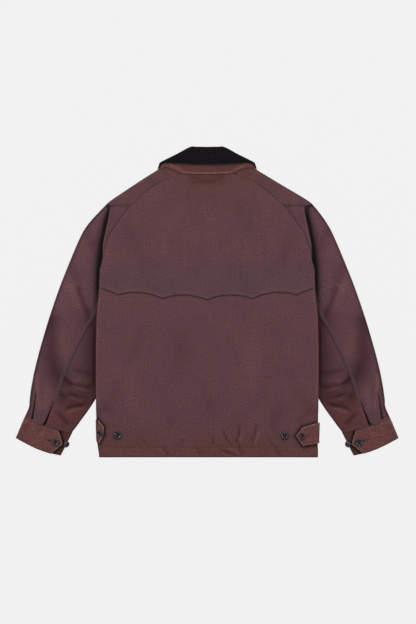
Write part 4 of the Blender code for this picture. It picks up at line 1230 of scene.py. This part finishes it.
# ---- tabs -----------------------------------------------------------------------------------------
def make_hem_tab(suffix, side, end_table, start):
    """Pointed strip round the side fold, with a sunk line along its edge."""
    rows = np.array(end_table)
    s = np.concatenate([np.linspace(i, i + 1, 12)[:-1] for i in range(len(rows) - 1)] + [[len(rows) - 1]])
    end_up, end, up = (np.interp(s, range(len(rows)), rows[:, i]) for i in range(3))
    edge = side_fold(up) + (TAB_PROUD if side > 0 else LEFT_TAB_PROUD)
    low = np.full_like(up, FLOOR_PLY)
    roll = 0.0 if side > 0 else 0.0016
    high = body_height(side * (edge - 0.004), up) + LAYER + TAB_LIFT - roll
    turn = side_curl(edge, up, low, high, 12)
    t = np.linspace(0, 1, 8)[:-1]
    under = strip((np.full_like(up, start), up, low), (turn[:, 0, 0], up, low), t)
    t = np.linspace(0, 1, 30)[1:]
    x, ups = between(turn[:, -1, 0], end, t), between(up, end_up, t)
    z = body_height(side * x, ups) + LAYER + TAB_LIFT - roll * smooth((x - 0.255) / 0.020)
    over = np.stack([x, ups, z], axis=-1)
    points = np.concatenate([under, turn, over], axis=1)
    outline = RIGHT_TAB_EDGE if side > 0 else LEFT_TAB_EDGE
    rim = edge_distance(side * points[..., 0], points[..., 1], outline)
    on_top = points[..., 2] > 0.006
    points[..., 2] -= 0.0005 * bell(rim - CAPE_INSET, 0.0011) * on_top
    points[..., 2] += 0.0003 * ripple(points[..., 0] * 3, points[..., 1] * 3, 51) * on_top
    tones = filled(rim, CUFF_RUST)
    tones = patchy(tones, points, 3, 43)
    # painted shade in the stitch line, and a paler rim of wear and painted highlight
    tones = paint(tones, PAINTED_SHADE, 0.22, rim - 0.0048, 0.0011)
    tones = paint(tones, WEAR_AND_HIGHLIGHT * 1.15, 0.80, rim, 0.0034)
    obj = panel("hem_tab_panel_" + suffix, side, points, tones, worn, CLOTH, points[..., 1::-1])
    declare(obj, ["hem_tab_" + suffix])


# ---- buttons and stitches -------------------------------------------------------------------------
HOLE_CIRCLE = 0.0020         # from the button's middle to the middle of a hole
HOLE_RADIUS = 0.00085
EDGE_SEAT = 0.0064           # height of the leaning buttons at the cuffs' inner folds
LEAN_INNER = (-0.894, -0.447)   # directions of the lean on the +X side
LEAN_OUTER = (0.98, -0.2)
# Half section of a button. Columns: share of its radius, height.
BUTTON_PROFILE = (
    (0.0, 0.0002), (0.66, 0.0), (0.88, 0.0003), (0.985, 0.0009), (1.0, 0.0015), (0.96, 0.0023),
    (0.87, 0.0029), (0.76, 0.0028), (0.68, 0.0021), (0.60, 0.0017), (0.40, 0.0016), (0.0, 0.0016),
)


def hole(i):
    """Place of one of a button's four holes."""
    angle = math.radians(45 + 90 * i)
    return HOLE_CIRCLE * math.cos(angle), HOLE_CIRCLE * math.sin(angle)


def button_mesh():
    """Four-hole button with a rolled rim and a dished face, turned, its back at height 0."""
    section = spline([(BUTTON_RADIUS * share, height) for share, height in BUTTON_PROFILE], 40)
    mesh = bpy.data.meshes.new("button")
    edges = [(i, i + 1) for i in range(len(section) - 1)]
    mesh.from_pydata([(max(r, 0.0), 0.0, h) for r, h in section], edges, [])
    turned = linked("turned", mesh)
    screw = turned.modifiers.new("turn", "SCREW")
    screw.steps = screw.render_steps = 48
    screw.use_merge_vertices = True
    screw.merge_threshold = 0.00001
    screw.use_normal_calculate = True
    cutters = []
    for i in range(4):
        bpy.ops.mesh.primitive_cylinder_add(vertices=14, radius=HOLE_RADIUS, depth=0.01)
        cutter = bpy.context.object
        cutter.location = (*hole(i), 0)
        cut = turned.modifiers.new("hole", "BOOLEAN")
        cut.operation = "DIFFERENCE"
        cut.object = cutter
        cutters.append(cutter)
    bpy.context.view_layer.update()
    seen = turned.evaluated_get(bpy.context.evaluated_depsgraph_get())
    result = bpy.data.meshes.new_from_object(seen)
    for extra in [turned, *cutters]:
        bpy.data.objects.remove(extra)
    result.shade_smooth()
    result.set_sharp_from_angle(angle=math.radians(40))
    result.materials.clear()
    result.materials.append(horn)
    return result


def capsule(bm_points, bm_faces, start, end, radius, sides=6):
    """Adds one short round thread between two points to lists of points and faces."""
    start, end = Vector(start), Vector(end)
    axis = (end - start).normalized()
    turn = Vector((0, 0, 1)).rotation_difference(axis)
    rings = ((0.0, 0.35), (0.18, 0.9), (0.5, 1.0), (0.82, 0.9), (1.0, 0.35))
    base = len(bm_points)
    for share, size in rings:
        middle = start.lerp(end, share)
        for k in range(sides):
            angle = 2 * math.pi * k / sides
            offset = turn @ Vector((math.cos(angle) * radius * size, math.sin(angle) * radius * size, 0))
            bm_points.append(tuple(middle + offset))
    for r in range(len(rings) - 1):
        for k in range(sides):
            a, b = base + r * sides + k, base + r * sides + (k + 1) % sides
            bm_faces.append((a, b, b + sides, a + sides))
    bm_faces.append(tuple(base + k for k in reversed(range(sides))))
    last = base + (len(rings) - 1) * sides
    bm_faces.append(tuple(last + k for k in range(sides)))


def thread_object(name, points, faces, material):
    mesh = bpy.data.meshes.new(name)
    mesh.from_pydata(points, [], faces)
    mesh.shade_smooth()
    mesh.materials.append(material)
    return linked(name, mesh)


# Buttons. Columns: name, across, up, lean in degrees, turn of the holes in degrees.
BUTTONS = (
    ("hem_right_outer", 0.2360, 0.0525, 0, 20),
    ("hem_right_inner", 0.1935, 0.0525, 0, 35),
    ("hem_left_outer", -0.2672, 0.0607, 42, 5),
    ("hem_left_inner", -0.2238, 0.0540, 0, 60),
    ("cuff_right_outer", 0.3785, 0.0368, 0, 15),
    ("cuff_left_outer", -0.3785, 0.0368, 0, 50),
    ("cuff_right_inner", 0.3516, 0.0325, 42, 25),
    ("cuff_left_inner", -0.3516, 0.0325, 42, 25),
)


def button_height(name, x, up):
    """Height of the cloth's top under a button."""
    if name.startswith("cuff"):
        return CUFF_TOP + CUFF_WALL / 2 + 0.0022
    height = float(body_height(np.array([x]), np.array([up]))[0]) + CLOTH / 2
    return height + (LAYER + TAB_LIFT if name.endswith("outer") else 0.0)


def make_buttons():
    """Buttons with crossed thread through their holes and a thread shank."""
    shape = button_mesh()
    for name, x, up, lean, spin in BUTTONS:
        side = 1 if x > 0 else -1
        button = linked("button_" + name + "_turned", shape.copy())
        way = LEAN_INNER if name.endswith("inner") else LEAN_OUTER
        slope, rise = math.sin(math.radians(lean)), math.cos(math.radians(lean))
        facing = Vector((side * way[0] * slope, way[1] * slope, rise))
        turn = Vector((0, 0, 1)).rotation_difference(facing).to_matrix().to_4x4()
        seat = EDGE_SEAT if name.endswith("inner") and lean else button_height(name, x, up) + 0.0004
        middle = Vector(to_world(np.array((x, up, seat))))
        placed = Matrix.Translation(middle) @ turn @ Matrix.Rotation(math.radians(spin), 4, "Z")
        button.data.transform(placed)
        declare(button, ["button_" + name])
        points, faces = [], []
        for a, b in ((0, 2), (1, 3)):
            first, second = (placed @ Vector((*hole(i), 0.0018)) for i in (a, b))
            for shift in (-0.00022, 0.00022):
                nudge = placed.to_3x3() @ Vector((shift, shift if a else -shift, 0.0001))
                capsule(points, faces, first + nudge, second + nudge, 0.00022)
        capsule(points, faces, placed @ Vector((0, 0, -0.0004)), placed @ Vector((0, 0, 0.0004)), 0.0014, 10)
        declare(thread_object("button_thread_" + name, points, faces, dark_thread), [])


def stitch_line(store, path, height, pitch=0.0031, radius=0.00024, lift=0.00005):
    """Stitches along a path of across and up, lying on a surface whose height a function gives."""
    path = np.array(path, float)
    steps = np.concatenate([[0], np.cumsum(np.hypot(np.diff(path[:, 0]), np.diff(path[:, 1])))])
    count = max(1, int(steps[-1] / pitch))
    at = (np.arange(count)[:, None] + np.array([[0.12, 0.88]])) * steps[-1] / count
    x, up = np.interp(at, steps, path[:, 0]), np.interp(at, steps, path[:, 1])
    ends = to_world(np.stack([x, up, height(x, up) + lift], axis=-1))
    for i in range(count):
        capsule(*store, ends[i, 0], ends[i, 1], radius)


def make_stitches():
    """Rows of stitching on the hem, cape and seams of the back."""
    store = ([], [])
    half = CLOTH / 2
    across = np.linspace(-0.268, 0.268, 400)

    def stitches(across, up, above):
        path = np.stack(np.broadcast_arrays(across, up), axis=1)
        stitch_line(store, path, lambda x, u: body_height(x, u) + half + above)

    for up in (HEM_STITCH, 0.0035):
        stitches(across, up, 0.0)
    across = np.linspace(-0.262, 0.262, 600)
    for off, above in ((0.0075, LAYER + 0.00015), (0.0022, LAYER + 0.00065)):
        stitches(across, cape_edge(across) + off, above)
    for side in (1, -1):
        ups = np.linspace(0.520, 0.700, 120)
        for off, above in ((0.0022, 0.0), (0.0068, 0.0004)):
            stitches(side * (back_raglan(ups) + off), ups, above)
        for off in (0.0022, 0.0070):
            stitches(side * np.linspace(0.199, 0.241, 20), SHOULDER_SEAM + off, 0.0005)
    declare(thread_object("body_stitching", *store, thread), [])


# Buttonholes. Columns: across and up of the end by the button, then of the far end.
BUTTONHOLES = ((0.2440, 0.0530, 0.2560, 0.0545), (-0.2715, 0.0607, -0.2748, 0.0610),
               (0.3865, 0.0405, 0.3975, 0.0445), (-0.3865, 0.0405, -0.3975, 0.0445))


def make_buttonholes():
    """Keyhole buttonholes worked in dark blue thread."""
    store = ([], [])
    for ax, ay, bx, by in BUTTONHOLES:
        along, across = Vector((bx - ax, by - ay, 0)), Vector((ay - by, bx - ax, 0)).normalized()
        count = int(along.length / 0.00055)
        for i in range(count + 1):
            middle = Vector((ax, ay, 0)) + along * (i / count)
            if abs(ax) > 0.3:
                top = CUFF_TOP + CUFF_WALL / 2 + 0.0016
            else:
                top = float(body_height(middle.x, middle.y)) + LAYER + TAB_LIFT + CLOTH / 2
            wide = 0.0017 if i > count - 5 else 0.0011
            for way in (1, -1):
                ends = [to_world(np.array(middle + across * way * d + Vector((0, 0, top + lift))))
                        for d, lift in ((0.0001, 0.0001), (wide, 0.0))]
                capsule(*store, ends[0], ends[1], 0.00028)
    declare(thread_object("buttonholes", *store, navy_thread), [])


# ---- stage ----------------------------------------------------------------------------------------
SKY = 0.24
FLOOR_GLOW = 0.862
FLOOR_DROP = 0.0006
LENS, SENSOR = 85.0, 36.0    # in millimetres
VIEW_HEIGHT = 1.56           # in metres, from edge to edge of the view
VIEW_CENTRE = (0.002, -0.0248)
# Softboxes. Columns: name, X, Y, Z, size, power.
SOFTBOXES = (
    ("left", -2.4, 0.5, 2.1, 1.3, 54.0),
    ("right", 2.4, 0.2, 2.1, 1.3, 44.0),
    ("top", 0.2, 2.4, 2.0, 1.0, 27.0),
)


def make_stage():
    """Pale floor, soft light all round with a little more from above the collar, and the camera."""
    floor_mesh = bpy.data.meshes.new("floor")
    floor_mesh.from_pydata([(-6, -6, 0), (6, -6, 0), (6, 6, 0), (-6, 6, 0)], [], [(0, 1, 2, 3)])
    floor = linked("floor", floor_mesh)
    floor.location.z = -FLOOR_DROP
    material, tree, shader = new_material("floor")
    set_inputs(shader, {"Base Color": (0.02, 0.02, 0.02, 1.0), "Roughness": 0.9, "Specular IOR Level": 0.0,
                        "Emission Color": (1.0, 1.0, 1.0, 1.0), "Emission Strength": FLOOR_GLOW})
    floor_mesh.materials.append(material)
    world = bpy.data.worlds.new("studio")
    world.use_nodes = True
    set_inputs(world.node_tree.nodes["Background"], {"Color": (1.0, 1.0, 1.0, 1.0), "Strength": SKY})
    bpy.context.scene.world = world
    for name, x, y, z, size, power in SOFTBOXES:
        light = bpy.data.lights.new(name, "AREA")
        light.shape = "DISK"
        light.size = size
        light.energy = power
        lamp = linked(name, light)
        lamp.location = (x, y, z)
        lamp.rotation_euler = (-Vector((x, y, z))).to_track_quat("-Z", "Y").to_euler()
    camera = bpy.data.cameras.new("camera")
    camera.lens = LENS
    camera.sensor_width = SENSOR
    eye = linked("camera", camera)
    eye.location = (*VIEW_CENTRE, VIEW_HEIGHT * LENS / SENSOR)
    bpy.context.scene.camera = eye
    bpy.context.scene.view_settings.view_transform = "Standard"


make_back()
make_cape()
for suffix, side in (("right", 1), ("left", -1)):
    make_front(suffix, side)
    make_shoulder(suffix, side)
    make_sleeve(suffix, side)
    make_cuff(suffix, side)
make_collar()
make_stand()
for tab in HEM_TABS:
    make_hem_tab(*tab)
make_buttons()
make_stitches()
make_buttonholes()
make_stage()
